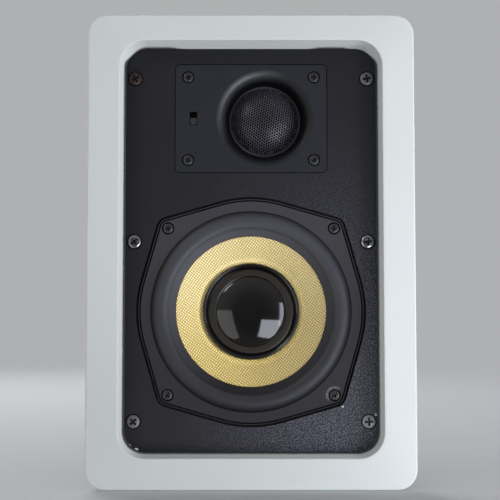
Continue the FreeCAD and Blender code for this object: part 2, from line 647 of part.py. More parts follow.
def plate_places(y):
    """The tweeter plate's four screws."""
    return [(f"{across} * tweeter_screw_x", f"{y} + {up} * tweeter_screw_y") for across, up in EAR_SIGNS]


def pillar_places():
    """The crossover board's four screws."""
    return [(f"board_right + {across} * pillar_x", f"board_y + {up} * pillar_y") for across, up in EAR_SIGNS]


def baffle():
    """Black panel: trays for both drivers, screw bosses, a rib, board pillars and clamp guide posts."""
    body = new_body("baffle")
    panel = rounded(
        new_sketch(body, "face"), "0", "opening_y", "panel_width", "panel_height", "panel_corner"
    )
    pad(body, panel, "baffle_thick")
    rib = rounded(
        new_sketch(body, "back"), "0", "opening_y",
        "foot_width - 2 * rib_inset", "foot_height - 2 * rib_margin", "foot_corner",
    )
    rounded(
        rib, "0", "opening_y", "foot_width - 2 * (rib_inset + rib_thick)",
        "foot_height - 2 * (rib_margin + rib_thick)", "foot_corner - rib_thick",
    )
    pad(body, rib, "rib_height")
    pad(body, eared(new_sketch(body, "back"), "woofer_y", "woofer_gap + tray_wall"), "back - woofer_tray")
    tray = rounded(
        new_sketch(body, "back"), "0", "plate_y", "plate_width + 2 * (plate_gap + tray_wall)",
        "plate_height + 2 * (plate_gap + tray_wall)", "plate_corner + plate_gap + tray_wall",
    )
    pad(body, tray, "back - plate_tray")
    bosses = new_sketch(body, "woofer_floor")
    for x, y in ear_places("woofer_y"):
        circle(bosses, x, y, "woofer_shank + boss_wall")
    pad(body, bosses, "tray_floor + boss_length")
    bosses = new_sketch(body, "plate_floor")
    for x, y in plate_places("plate_y"):
        circle(bosses, x, y, "tweeter_shank + boss_wall")
    pad(body, bosses, "tray_floor + boss_length")
    pillars = new_sketch(body, "back")
    for x, y in pillar_places():
        circle(pillars, x, y, "pillar_radius")
    pad(body, pillars, "pillar_length")
    posts = new_sketch(body, "back")
    for _, x, y, turn in clamp_places():
        sector(
            posts, x, y, "post_inner", "post_outer",
            f"{90 + turn} deg + post_stop", f"{225 + turn} deg - post_slot",
        )
        sector(
            posts, x, y, "post_inner", "post_outer",
            f"{225 + turn} deg + post_slot", f"{360 + turn} deg - post_stop",
        )
    pad(body, posts, "back - nut_back + post_tail")
    pocket(body, eared(new_sketch(body, "face"), "woofer_y", "woofer_gap"), "face - woofer_floor")
    recess = rounded(
        new_sketch(body, "face"), "0", "plate_y", "plate_width + 2 * plate_gap",
        "plate_height + 2 * plate_gap", "plate_corner + plate_gap",
    )
    pocket(body, recess, "face - plate_floor")
    holes = circle(new_sketch(body, "face"), "0", "woofer_y", "woofer_hole")
    circle(holes, "horn_offset", "plate_y", "horn_outer + plate_gap")
    block(
        holes, "-switch_left", "plate_y",
        "switch_width + 2 * switch_room", "switch_height + 2 * switch_room",
    )
    pocket(body, holes, "face - woofer_tray + rib_height + boss_length")
    pilots = new_sketch(body, "woofer_floor")
    for x, y in ear_places("woofer_y"):
        circle(pilots, x, y, "woofer_shank + screw_gap")
    pocket(body, pilots, "tray_floor + boss_length - rib_thick")
    pilots = new_sketch(body, "plate_floor")
    for x, y in plate_places("plate_y"):
        circle(pilots, x, y, "tweeter_shank + screw_gap")
    pocket(body, pilots, "tray_floor + boss_length - rib_thick")
    pilots = new_sketch(body, "board_front")
    for x, y in pillar_places():
        circle(pilots, x, y, "board_shank + screw_gap")
    pocket(body, pilots, "board_screw + rib_thick", forward=True)
    sinks = new_sketch(body, "face")
    holes = new_sketch(body, "face")
    for _, x, y, _ in clamp_places():
        circle(sinks, x, y, "clamp_sink")
        circle(holes, x, y, "clamp_shank + clamp_gap")
    pocket(body, sinks, "clamp_sink_depth")
    pocket(body, holes, "baffle_thick")


# Woofer

def woofer_basket():
    """Eared flange, conical wall with windows, spider shelf and floor."""
    body = new_body("woofer_basket", "0", "woofer_y")
    flange = eared(new_sketch(body, "face"), "0", "0")
    circle(flange, "0", "0", "collar_inner")
    pad(body, flange, "woofer_flange")
    revolve(body, [
        ("collar_inner", "seat"),
        ("collar_inner", "collar_end"),
        ("shelf_outer", "shelf"),
        ("shelf_inner", "shelf"),
        ("shelf_inner", "basket_floor"),
        ("floor_outer - floor_ring", "basket_floor"),
        ("floor_outer - floor_ring", "top_plate"),
        ("floor_outer", "top_plate"),
        ("floor_outer", "shelf - basket_wall"),
        ("shelf_outer + basket_wall", "shelf - basket_wall"),
        ("shelf_outer + basket_wall", "shelf"),
        ("collar_outer", "collar_end"),
        ("collar_outer", "seat"),
    ])
    pocket(body, circle(new_sketch(body, "face"), "0", "0", "step_radius"), "ledge_drop")
    groove = eared(new_sketch(body, "face"), "0", "(-groove_inset)")
    eared(groove, "0", "(-groove_inset - groove_width)")
    pocket(body, groove, "groove_depth")
    windows = new_sketch(body, "collar_end - window_margin")
    count = round(value("window_count"))
    for number in range(count):
        middle = f"{number} * 360 deg / window_count"
        sector(
            windows, "0", "0", "shelf_inner + basket_wall / 2", "step_radius",
            f"{middle} - window_angle * 1 deg / 2", f"{middle} + window_angle * 1 deg / 2",
        )
    pocket(body, windows, "collar_end - shelf - 2 * window_margin")
    sinks = new_sketch(body, "face")
    holes = new_sketch(body, "face")
    for x, y in ear_places("0"):
        circle(sinks, x, y, "woofer_sink")
        circle(holes, x, y, "woofer_shank + screw_gap")
    pocket(body, sinks, "woofer_sink_depth")
    pocket(body, holes, "woofer_flange")


def woofer_soft_parts():
    """Surround, cone, dust cap and spider, each one turned skin."""
    surround = new_body("woofer_surround", "0", "woofer_y")
    revolve(surround, [
        ("surround_radius", "seat"),
        ("surround_radius", "seat + skin", "left", bend("roll_width", "roll_height")),
        ("roll_inner", "seat + skin"),
        ("land_inner", "seat + skin"),
        ("land_inner", "seat"),
        ("roll_inner + skin", "seat", "right", bend("roll_width - skin - roll_foot", "roll_height")),
        ("surround_radius - roll_foot", "seat"),
    ])
    cone = new_body("woofer_cone", "0", "woofer_y")
    revolve(cone, [
        ("former_outer", "neck"),
        ("former_outer", "neck - cone_thick"),
        ("land_inner", "seat - cone_thick"),
        ("cone_rim", "seat - cone_thick"),
        ("cone_rim", "seat"),
        ("land_inner", "seat"),
    ])
    cap = new_body("dust_cap", "0", "woofer_y")
    collar_top = "cap_seat + collar_rise"
    valley = "cap_seat + collar_rise - valley_drop"
    collar_edge = "cap_radius - collar_width"
    dome_edge = "cap_radius - collar_width - valley_width"
    dome = bend(f"2 * ({dome_edge})", "dome_rise")
    revolve(cap, [
        ("cap_radius - cap_foot", "cap_seat - cap_foot * slope"),
        ("cap_radius", "cap_seat"),
        ("cap_radius", "cap_seat + collar_rise / 2", "left", "collar_outer_bend"),
        ("cap_radius - collar_width / 2", collar_top, "left", "collar_inner_bend"),
        (collar_edge, f"{collar_top} - collar_fall"),
        (dome_edge, valley, "left", dome),
        ("0", f"{valley} + dome_rise"),
        ("0", f"{valley} + dome_rise - cap_skin", "right", dome),
        (dome_edge, f"{valley} - cap_skin"),
        (collar_edge, f"{collar_top} - collar_fall - cap_skin"),
        ("cap_radius - collar_width / 2", f"{collar_top} - cap_skin"),
        ("cap_radius - cap_foot", "cap_seat + collar_rise - 2 * collar_fall"),
    ])
    spider = new_body("spider", "0", "woofer_y")
    count = 2 * round(value("spider_waves"))
    step = "((shelf_inner - former_outer) / (2 * spider_waves))"
    wave = bend(step, "wave_height")
    upper = []
    lower = []
    for number in range(count):
        turns = ("left", "right") if number % 2 else ("right", "left")
        upper.append((f"shelf_inner - {number} * {step}", "shelf + spider_skin", turns[1], wave))
        lower.append((f"former_outer + {number} * {step}", "shelf", turns[1], wave))
    revolve(spider, [
        ("spider_radius", "shelf"),
        ("spider_radius", "shelf + spider_skin"),
        *upper,
        ("former_outer", "shelf + spider_skin"),
        *lower,
        ("shelf_inner", "shelf"),
    ])


def woofer_motor():
    """Gasket, former, winding, top plate, magnet, yoke and the terminal strip."""
    ring(
        "woofer_gasket", "woofer_y", "woofer_hole + gasket_inset", "woofer_radius - gasket_inset",
        "woofer_floor + gasket_thick", "gasket_thick",
    )
    ring(
        "coil_former", "woofer_y", "former_radius", "former_outer",
        "neck + former_wall", "neck + former_wall - coil_end",
    )
    ring("voice_coil", "woofer_y", "former_outer", "coil_outer", "coil_end + coil_length", "coil_length")
    ring(
        "woofer_top_plate", "woofer_y", "coil_outer + air_gap", "floor_outer - plate_margin",
        "top_plate", "top_plate_thick",
    )
    magnet = ring("woofer_magnet", "woofer_y", "magnet_bore", "magnet_radius", "magnet", "magnet_length")
    rims = (value("magnet"), value("yoke"))
    soften(magnet, "plate_margin", lambda edge: is_outer(edge, "magnet_radius", rims), "Chamfer")
    yoke = new_body("woofer_yoke", "0", "woofer_y")
    pad(yoke, circle(new_sketch(yoke, "yoke"), "0", "0", "yoke_radius"), "yoke_thick")
    pole = circle(new_sketch(yoke, "top_plate"), "0", "0", "former_radius - air_gap")
    pad(yoke, pole, "top_plate - yoke")
    vent = circle(new_sketch(yoke, "top_plate"), "0", "0", "vent_radius")
    pocket(yoke, vent, "top_plate - yoke_back")
    rims = (value("yoke_back"),)
    soften(yoke, "plate_margin", lambda edge: is_outer(edge, "yoke_radius", rims), "Chamfer")
    strip = new_body("woofer_terminal_strip", "0", "woofer_y")
    under = "shelf - basket_wall"
    middle = "floor_outer + seat_gap + strip_length / 2"
    outline = rounded(
        new_sketch(strip, under), "0", middle, "strip_width", "strip_length", "strip_thick"
    )
    pad(strip, outline, "strip_thick")
    tabs = new_body("woofer_terminal_tabs", "0", "woofer_y")
    outline = new_sketch(tabs, "shelf - basket_wall - strip_thick")
    for side in (-1, 1):
        block(
            outline, f"{side} * tab_pitch / 2", "floor_outer + strip_length - tab_thick",
            "tab_width", "tab_thick",
        )
    pad(tabs, outline, "tab_length")


def is_outer(edge, radius, levels):
    """Whether an edge is the outer rim at one of some levels."""
    point = edge.Vertexes[0]
    level = any(abs(point.Z - height) < 1e-4 for height in levels)
    return level and abs(math.hypot(point.X, point.Y) - value(radius)) < 1e-4


# Tweeter

def tweeter_plate():
    """Plate with a flared waveguide, sunk screw seats and the switch's slot."""
    body = new_body("tweeter_plate", "horn_offset", "plate_y")
    plate = rounded(
        new_sketch(body, "face"), "-horn_offset", "0", "plate_width", "plate_height", "plate_corner"
    )
    pad(body, plate, "plate_thick")
    pad(body, circle(new_sketch(body, "plate_floor"), "0", "0", "horn_outer"), "plate_floor - horn_back")
    revolve(body, [
        ("0", "face"),
        ("0", "face - horn_depth"),
        ("flare_foot", "face - horn_depth"),
        ("bend_radius", "face - bend_drop", "right", "horn_bend * horn_ease"),
        ("horn_radius", "face"),
    ], cut=True)
    throat = circle(new_sketch(body, "face - horn_depth"), "0", "0", "throat_radius")
    pocket(body, throat, "horn_seat")
    sinks = new_sketch(body, "face")
    holes = new_sketch(body, "face")
    for x, y in plate_places("0"):
        circle(sinks, f"{x} - horn_offset", y, "tweeter_sink")
        circle(holes, f"{x} - horn_offset", y, "tweeter_shank + screw_gap")
    pocket(body, sinks, "tweeter_sink_depth")
    pocket(body, holes, "plate_thick")
    slot = block(new_sketch(body, "face"), "-switch_left - horn_offset", "0", "slot_width", "slot_height")
    pocket(body, slot, "plate_thick")


def tweeter_mesh():
    """Domed sheet with a flat rim and rings of holes."""
    body = new_body("tweeter_mesh", "horn_offset", "plate_y")
    floor = "face - horn_depth"
    dome = bend("2 * throat_radius", "mesh_rise")
    revolve(body, [
        ("mesh_radius", floor),
        ("mesh_radius", f"{floor} + mesh_sheet"),
        ("throat_radius", f"{floor} + mesh_sheet", "left", dome),
        ("0", f"{floor} + mesh_sheet + mesh_rise"),
        ("0", f"{floor} + mesh_rise", "right", dome),
        ("throat_radius", floor),
    ])
    holes = new_sketch(body, f"{floor} + mesh_rise + 2 * mesh_sheet")
    circle(holes, "0", "0", "mesh_hole")
    for ring_number in range(1, round(value("mesh_rings")) + 1):
        count = 6 * ring_number
        for number in range(count):
            angle = f"{number} * {360 / count} deg"
            circle(holes, *polar("0", "0", f"{ring_number} * mesh_pitch", angle), "mesh_hole")
    pocket(body, holes, "mesh_rise + 2 * mesh_sheet")


def tweeter_motor():
    """Cloth dome, coil, top plate, magnet and yoke."""
    centre = {"x": "horn_offset"}
    dome = new_body("tweeter_dome", "horn_offset", "plate_y")
    crown = bend("2 * tweeter_radius", "tweeter_rise")
    roll = bend("tweeter_roll", "tweeter_roll_rise")
    revolve(dome, [
        ("dome_edge + tweeter_rim", "tweeter_rear"),
        ("dome_edge + tweeter_rim", "horn_back"),
        ("dome_edge", "horn_back", "left", roll),
        ("tweeter_radius", "horn_back", "left", crown),
        ("0", "horn_back + tweeter_rise"),
        ("0", "tweeter_rear + tweeter_rise", "right", crown),
        ("tweeter_radius", "tweeter_rear", "right", roll),
        ("dome_edge", "tweeter_rear"),
    ])
    ring(
        "tweeter_coil", "plate_y", "tweeter_coil_inner", "tweeter_coil_outer",
        "tweeter_rear", "tweeter_coil_length", **centre,
    )
    ring(
        "tweeter_top_plate", "plate_y", "dome_edge", "tweeter_plate_radius",
        "tweeter_rear", "tweeter_plate_thick", **centre,
    )
    ring(
        "tweeter_magnet", "plate_y", "tweeter_magnet_bore", "tweeter_plate_radius",
        "tweeter_magnet", "tweeter_magnet_length", **centre,
    )
    yoke = new_body("tweeter_yoke", "horn_offset", "plate_y")
    pad(yoke, circle(new_sketch(yoke, "tweeter_yoke"), "0", "0", "tweeter_yoke_radius"), "tweeter_yoke_thick")
    pole = circle(new_sketch(yoke, "tweeter_rear"), "0", "0", "tweeter_coil_inner - air_gap")
    pad(yoke, pole, "tweeter_rear - tweeter_yoke")


def level_switch():
    """Slide switch behind the tweeter plate, with its slider at the lower end of the slot."""
    body = new_body("switch_body", "-switch_left", "plate_y")
    shell = block(new_sketch(body, "plate_floor"), "0", "0", "switch_width", "switch_height")
    pad(body, shell, "switch_depth")
    well = block(new_sketch(body, "plate_floor"), "0", "0", "slot_width", "slot_height")
    pocket(body, well, "slider_tail + slider_gap")
    slider = new_body("switch_slider", "-switch_left", "plate_y")
    low = "slider_gap + slider_height / 2 - slot_height / 2"
    outline = block(
        new_sketch(slider, "face - slider_sink"), "0", low, "slot_width - 2 * slider_gap", "slider_height"
    )
    pad(slider, outline, "plate_thick - slider_sink + slider_tail")


# Crossover and terminals

def inductor(name, x, radius, length):
    """Flanged bobbin and its winding, standing on the board."""
    bobbin = new_body(f"{name}_bobbin", x, "board_y")
    cheek = f"{radius} + cheek_reach"
    far = f"board_back - {length}"
    revolve(bobbin, [
        ("bobbin_bore", "board_back"),
        ("bobbin_bore", far),
        (cheek, far),
        (cheek, f"{far} + bobbin_cheek"),
        ("bobbin_core", f"{far} + bobbin_cheek"),
        ("bobbin_core", "board_back - bobbin_cheek"),
        (cheek, "board_back - bobbin_cheek"),
        (cheek, "board_back"),
    ])
    ring(
        f"{name}_winding", "board_y", "bobbin_core", radius,
        "board_back - bobbin_cheek", f"{length} - 2 * bobbin_cheek", x=x,
    )


def capacitor(name, y, radius):
    """Round film capacitor lying on the board."""
    body = new_body(name, "cans_x", y)
    outline = new_sketch(body, "-can_length / 2", "YZ_Plane")
    circle(outline, "0", f"board_back - {radius}", radius)
    length = pad(body, outline, "can_length")
    length.Reversed = False
    soften(body, "can_round", lambda edge: len(edge.Vertexes) == 1)


def crossover():
    """Board on the baffle's pillars, with its parts."""
    board = new_body("crossover_board", "board_right", "board_y")
    outline = rounded(
        new_sketch(board, "board_front"), "0", "0", "board_width", "board_height", "board_thick"
    )
    pad(board, outline, "board_thick")
    holes = new_sketch(board, "board_front")
    for across, up in EAR_SIGNS:
        circle(holes, f"{across} * pillar_x", f"{up} * pillar_y", "board_shank + screw_gap")
    pocket(board, holes, "board_thick")
    screws = new_body("board_screws")
    heads = new_sketch(screws, "board_back")
    shanks = new_sketch(screws, "board_back + board_screw")
    for x, y in pillar_places():
        circle(heads, x, y, "board_head")
        circle(shanks, x, y, "board_shank")
    pad(screws, shanks, "board_screw")
    pad(screws, heads, "head_height")
    inductor("large_inductor", "large_coil_x", "large_coil", "large_coil_length")
    inductor("small_inductor", "small_coil_x", "small_coil", "small_coil_length")
    capacitor("large_capacitor", "cans_top - large_can", "large_can")
    capacitor("small_capacitor", "cans_top - 2 * large_can - can_gap - small_can", "small_can")
    low = "cans_top - 2 * (large_can + small_can + can_gap) - resistor_height / 2"
    resistor = new_body("resistor", "cans_x", low)
    body = rounded(
        new_sketch(resistor, "board_back"), "0", "0", "can_length", "resistor_height", "can_round"
    )
    pad(resistor, body, "resistor_height")


def terminals():
    """Housing with two spring-loaded buttons over two contacts, and two wire holes."""
    sides = (("red", -1), ("black", 1))
    housing = new_body("terminal_housing", "terminal_x", "board_y")
    outline = rounded(
        new_sketch(housing, "board_back"), "0", "0", "terminal_width", "terminal_height", "terminal_round"
    )
    pad(housing, outline, "terminal_depth")
    wells = new_sketch(housing, "terminal_back")
    wires = new_sketch(housing, "terminal_back")
    for _, side in sides:
        middle = f"{side} * button_pitch / 2"
        block(wells, middle, "button_lift", "button_width + 2 * button_gap", "button_height + 2 * button_gap")
        circle(wires, middle, "-wire_drop", "wire_radius")
    pocket(housing, wells, "button_well", forward=True)
    pocket(housing, wires, "wire_depth", forward=True)
    contacts = new_body("terminal_contacts", "terminal_x", "board_y")
    strips = new_sketch(contacts, "terminal_back + button_well")
    for _, side in sides:
        block(strips, f"{side} * button_pitch / 2", "button_lift", "button_width", "button_height")
    pad(contacts, strips, "contact_thick")
    for colour, side in sides:
        button = new_body(f"terminal_button_{colour}", f"terminal_x + {side} * button_pitch / 2", "board_y")
        front = "terminal_back + button_well - contact_thick - button_gap - button_stroke"
        outline = rounded(
            new_sketch(button, front), "0", "button_lift", "button_width", "button_height", "terminal_round"
        )
        pad(button, outline, f"{front} - terminal_back + button_rise")


# Clamps

def clamp(place, x, y, turn):
    """Screw with its head at the front, tab nut in the guide post, and swing-out dog on the nut's collar."""
    seat_level = "face - clamp_sink_depth + clamp_gap"
    screw = new_body(f"clamp_screw_{place}", x, y)
    head = circle(new_sketch(screw, f"{seat_level} + clamp_head_height"), "0", "0", "clamp_head")
    pad(screw, head, "clamp_head_height")
    shank = circle(new_sketch(screw, seat_level), "0", "0", "clamp_shank")
    pad(screw, shank, f"{seat_level} - nut_back + screw_tail")
    nut = new_body(f"clamp_nut_{place}", x, y, 45 + turn)
    pad(nut, circle(new_sketch(nut, "nut_face"), "0", "0", "nut_flange"), "nut_thick")
    collar = circle(new_sketch(nut, "nut_face + nut_collar_length"), "0", "0", "nut_collar")
    pad(nut, collar, "nut_collar_length")
    tab = block(new_sketch(nut, "nut_face"), "-post_outer / 2", "0", "post_outer", "nut_tab")
    pad(nut, tab, "nut_thick")
    bore = circle(new_sketch(nut, "nut_face + nut_collar_length"), "0", "0", "clamp_shank + clamp_gap")
    pocket(nut, bore, "nut_collar_length + nut_thick")
    dog = new_body(f"clamp_dog_{place}", x, y, turn)
    pad(dog, circle(new_sketch(dog, "dog_face"), "0", "0", "dog_hub"), "dog_length")
    arm = draw(new_sketch(dog, "dog_face"), [
        ("-dog_width / 2", "0"),
        ("dog_width / 2", "0"),
        ("dog_width / 2", "dog_reach - dog_width / 4", "left", "dog_width / 4"),
        ("dog_width / 4", "dog_reach"),
        ("-dog_width / 4", "dog_reach", "left", "dog_width / 4"),
        ("-dog_width / 2", "dog_reach - dog_width / 4"),
    ])
    pad(dog, arm, "dog_thick")
    bore = circle(new_sketch(dog, "dog_face"), "0", "0", "nut_collar + clamp_gap")
    pocket(dog, bore, "dog_length")
    grooves = new_sketch(dog, "dog_face")
    for number in range(1, round(value("dog_grooves")) + 1):
        block(grooves, "0", f"dog_reach - {2 * number} * dog_tooth", "2 * dog_width", "dog_tooth")
    pocket(dog, grooves, "dog_tooth")


# Assembly

bezel_frame()
baffle()
woofer_basket()
woofer_soft_parts()
woofer_motor()
screw_group(
    "woofer_screws", "woofer_y", ear_places("0"), "woofer_head", "woofer_shank",
    "face - woofer_sink_depth", "woofer_flange - woofer_sink_depth + gasket_thick + boss_length - rib_thick",
)
tweeter_plate()
tweeter_mesh()
tweeter_motor()
screw_group(
    "tweeter_screws", "plate_y", plate_places("0"), "tweeter_head", "tweeter_shank",
    "face - tweeter_sink_depth", "plate_thick - tweeter_sink_depth + boss_length - rib_thick",
)
level_switch()
crossover()
terminals()
for clamp_place in clamp_places():
    clamp(*clamp_place)
doc.recompute()

# Every object has to be sound before anything is written

for item in doc.Objects:
    if "Invalid" in item.State or "Error" in item.State:
        raise ValueError(f"{item.Label} failed: {item.State}")
for piece in pieces:
    if piece.Shape.isNull() or not piece.Shape.isValid() or not piece.Shape.Solids:
        raise ValueError(f"{piece.Label} has no sound solid")

os.makedirs("parts", exist_ok=True)
for piece in pieces:
    piece.Shape.exportStep(f"parts/{piece.Label}.step")
print(len(pieces), "pieces")
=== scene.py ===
import math

import bmesh
import bpy
from bpy.props import FloatProperty, FloatVectorProperty, IntProperty, PointerProperty
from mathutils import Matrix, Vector
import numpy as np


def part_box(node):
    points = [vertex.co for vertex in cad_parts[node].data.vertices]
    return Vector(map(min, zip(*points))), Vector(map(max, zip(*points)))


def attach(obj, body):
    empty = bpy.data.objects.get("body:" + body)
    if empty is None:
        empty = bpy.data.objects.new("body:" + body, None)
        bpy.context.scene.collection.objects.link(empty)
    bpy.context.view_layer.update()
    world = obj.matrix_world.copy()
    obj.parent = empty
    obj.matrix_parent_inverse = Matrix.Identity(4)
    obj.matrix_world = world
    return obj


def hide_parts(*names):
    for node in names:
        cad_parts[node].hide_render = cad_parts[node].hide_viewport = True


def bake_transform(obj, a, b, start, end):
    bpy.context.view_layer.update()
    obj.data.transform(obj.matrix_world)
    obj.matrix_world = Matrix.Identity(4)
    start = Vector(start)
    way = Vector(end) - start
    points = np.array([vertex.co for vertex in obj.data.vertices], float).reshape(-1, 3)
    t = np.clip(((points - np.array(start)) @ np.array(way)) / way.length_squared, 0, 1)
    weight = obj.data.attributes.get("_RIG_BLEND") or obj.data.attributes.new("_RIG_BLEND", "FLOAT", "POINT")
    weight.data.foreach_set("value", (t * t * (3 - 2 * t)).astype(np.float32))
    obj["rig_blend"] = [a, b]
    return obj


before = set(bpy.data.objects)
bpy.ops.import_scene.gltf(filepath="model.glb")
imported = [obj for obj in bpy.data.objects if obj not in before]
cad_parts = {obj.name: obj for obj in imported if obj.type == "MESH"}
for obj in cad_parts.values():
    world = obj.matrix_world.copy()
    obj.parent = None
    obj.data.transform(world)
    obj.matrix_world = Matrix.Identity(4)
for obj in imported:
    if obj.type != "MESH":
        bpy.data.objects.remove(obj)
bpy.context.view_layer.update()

bl_info = {
    "name": "In-wall speaker",
    "version": (1, 0, 0),
    "blender": (4, 5, 0),
    "location": "3D View > Sidebar > Speaker",
    "description": "Finishes, fine pieces and stage for an in-wall two-way speaker",
    "category": "Object",
}

MM = 0.001
TURN = 2 * math.pi
# Heights in millimetres between which the woofer's flange and surround get painted light, lighter towards the
# top.
DUST_RISE = (-120, 40)
# Millimetres below the front of a screw's head between which its recess is painted dark as shade.
RECESS_DEPTHS = (0.9, 2.2)
# A screw's cross recess, as shares of its head's radius, and its point, as shares of its shank's radius.
RECESS_REACH, RECESS_HALF = 0.58, 0.17
LONG_POINT, SHORT_POINT, POINT_END = 1.2, 0.3, 0.35
# The outlines of a screw's head and recess: shares of the radius, and of the head's height below its top.
HEAD_OUTLINE = ((1, 1), (1, 0.62), (0.985, 0.42), (0.93, 0.26), (0.82, 0.135), (0.7, 0.063))
RECESS_OUTLINE = ((1.06, 0.02), (1.0, 0.1), (0.8, 0.85), (0.62, 0.95))
CLAMPS = [f"{row}_{side}" for row in ("top", "middle", "bottom") for side in ("left", "right")]


# Properties

def paint(red, green, blue):
    """A colour as seen on a screen, 0 to 255, as the linear colour that a shader takes."""
    shares = [channel / 255 for channel in (red, green, blue)]
    return tuple(c / 12.92 if c <= 0.04045 else ((c + 0.055) / 1.055) ** 2.4 for c in shares)


def length(name, description, default):
    """A length, given in millimetres and kept in metres."""
    return FloatProperty(
        name=name, description=description, default=default * MM, unit="LENGTH", subtype="DISTANCE",
        precision=5,
    )


def place(name, description, default):
    """A point in metres."""
    return FloatVectorProperty(
        name=name, description=description, default=default, size=3, unit="LENGTH", subtype="TRANSLATION"
    )


def colour(name, description, *shade):
    """A paint colour, given as it looks on a screen."""
    return FloatVectorProperty(
        name=name, description=description, default=paint(*shade), size=3, min=0, max=1, subtype="COLOR"
    )


def light(name, description, *shares):
    """The linear colour of a light."""
    return FloatVectorProperty(name=name, description=description, default=shares, size=3, subtype="COLOR")


def power(name, description, default):
    """The power of a lamp in watts."""
    return FloatProperty(name=name, description=description, default=default, unit="POWER")


class SpeakerSizes(bpy.types.PropertyGroup):
    """Sizes of the fine pieces that the frame leaves to the looks."""

    skin: length("Surround skin", "Thickness of the surround's rubber", 0.8)
    surround_reach: length("Surround reach", "How far the soft edge fills the gap at the flange", 0.15)
    roll_width: length("Roll width", "Width of the surround's half roll", 11.4)
    roll_foot: length("Roll foot", "Flat foot of the surround outside the roll", 1.4)
    land_width: length("Land width", "Part of the surround that is glued on the cone", 4.9)
    land_lift: length("Land lift", "How far the land rises from the cone to the roll", 2.0)
    collar_width: length("Collar width", "Rounded collar of the dust cap", 3.9)
    collar_rise: length("Collar rise", "Height of the dust cap's collar", 3.4)
    valley_width: length("Valley width", "Ring between the collar and the dome", 5.0)
    cap_skin: length("Cap skin", "Thickness of the dust cap", 0.9)
    cap_foot: length("Cap foot", "Depth of the dust cap's glued foot", 1.0)
    valley_fall: length("Valley fall", "Height of the collar over the valley", 1.62)
    spider_skin: length("Spider skin", "Thickness of the spider's cloth", 0.6)
    spider_rim: length("Spider rim", "Glued rim of the spider", 3.5)
    wave_height: length("Wave height", "Height of the spider's waves", 1.5)
    mesh_rim: length("Mesh rim", "Flat rim of the tweeter's mesh", 1.1)
    mesh_sheet: length("Mesh sheet", "Thickness of the mesh", 0.36)
    mesh_pitch: length("Mesh pitch", "Distance between the mesh's holes", 1.74)
    mesh_hole: length("Mesh hole", "Radius of a hole in the mesh", 0.77)
    weave_pitch: length("Weave pitch", "Width of a thread in the cone's weave", 1.066)
    wire: length("Wire", "Thickness of the inductors' wire", 0.9)
    thread_pitch: length("Thread pitch", "Pitch of the clamp screws' thread", 1.5)
    thread_depth: length("Thread depth", "Depth of the clamp screws' thread", 0.38)
    driver_head: length("Driver screw head", "Radius of the heads of the drivers' screws", 3.3)
    woofer_shank: length("Woofer screw shank", "Radius of the woofer screws' shanks", 1.9)
    tweeter_shank: length("Tweeter screw shank", "Radius of the tweeter screws' shanks", 1.5)
    board_head: length("Board screw head", "Radius of the heads of the board's screws", 2.6)
    board_shank: length("Board screw shank", "Radius of the board screws' shanks", 1.2)
    head_height: length("Head height", "Height of the drivers' and the board's screw heads", 1.5)
    clamp_head_height: length("Clamp head height", "Height of the clamp screws' heads", 2.2)
    segments: IntProperty(name="Segments", description="Steps round a turned piece", default=160, min=16)


class SpeakerColours(bpy.types.PropertyGroup):
    """Colours of the finishes."""

    white: colour("White paint", "Bezel", 217, 221, 219)
    # Sprayed paint and painted shade at the foot of the bezel's wall.
    overspray: colour("Overspray", "Dark foot of the bezel's wall", 30, 30, 34)
    baffle: colour("Baffle", "Black plastic of the baffle", 15, 15, 21)
    # Pale grains of dust, which thicken towards the lower right as painted sheen.
    dust: colour("Dust", "Pale grains on the baffle", 104, 103, 116)
    plate: colour("Tweeter plate", "Charcoal plastic of the tweeter plate", 41, 42, 47)
    flange: colour("Woofer flange", "Charcoal coating of the woofer's flange", 53, 52, 57)
    rubber: colour("Rubber", "Woofer surround", 64, 64, 70)
    thread: colour("Thread", "Top of the cone's threads", 248, 226, 144)
    # Painted light: paler threads towards the top of the cone.
    bleached_thread: colour("Bleached thread", "Threads that light has paled", 255, 244, 214)
    thread_gap: colour("Thread gap", "Between the cone's threads", 178, 138, 54)
    glue: colour("Glue", "Glue line on the cone", 62, 44, 26)
    cap: colour("Dust cap", "Glossy dust cap", 9, 8, 9)
    # Painted reflection of the cone in the cap's valley.
    cap_valley: colour("Cap valley", "Brownish ring round the dome", 38, 30, 20)
    mesh: colour("Mesh", "Black coating of the mesh", 72, 72, 80)
    bare: colour("Worn metal", "Metal that shows through worn coating", 150, 152, 156)
    black_screw: colour("Black screw", "Black oxide", 52, 52, 55)
    zinc: colour("Zinc", "Zinc plating", 166, 166, 164)
    clamp_zinc: colour("Clamp zinc", "Dull plating of the clamp screws", 104, 104, 106)
    bright_zinc: colour("Bright zinc", "Clean plating of the brighter clamp screws", 138, 138, 142)
    worn_zinc: colour("Worn zinc", "Plating of a rusty clamp screw", 46, 40, 37)
    rust: colour("Rust", "Rust on the plating", 92, 56, 34)
    steel: colour("Plated steel", "Motor plates", 186, 187, 184)
    ferrite: colour("Ferrite", "Magnets", 52, 52, 55)
    copper: colour("Copper", "Enamelled wire", 196, 104, 48)
    cloth: colour("Cloth", "Resin-treated spider cloth", 178, 134, 76)
    foil: colour("Foil", "Voice coil former", 196, 198, 200)
    silk: colour("Silk", "Tweeter dome", 8, 8, 9)
    foam: colour("Foam", "Gasket", 42, 42, 44)
    switch: colour("Switch", "Switch body", 22, 22, 24)
    slider: colour("Slider", "Switch slider", 40, 40, 42)
    dog: colour("Dog", "Clamp dogs", 44, 44, 48)
    board: colour("Board", "Resin board", 148, 106, 58)
    bobbin: colour("Bobbin", "Inductor bobbins", 214, 208, 190)
    film: colour("Film", "Capacitor wrap", 208, 146, 42)
    resin: colour("Resin", "Capacitor ends and terminal strip", 112, 70, 36)
    ceramic: colour("Ceramic", "Resistor", 222, 218, 206)
    housing: colour("Housing", "Terminal housing", 34, 34, 37)
    red: colour("Red button", "Red terminal button", 178, 28, 26)
    black: colour("Black button", "Black terminal button", 26, 26, 28)
    brass: colour("Brass", "Contacts", 206, 178, 112)


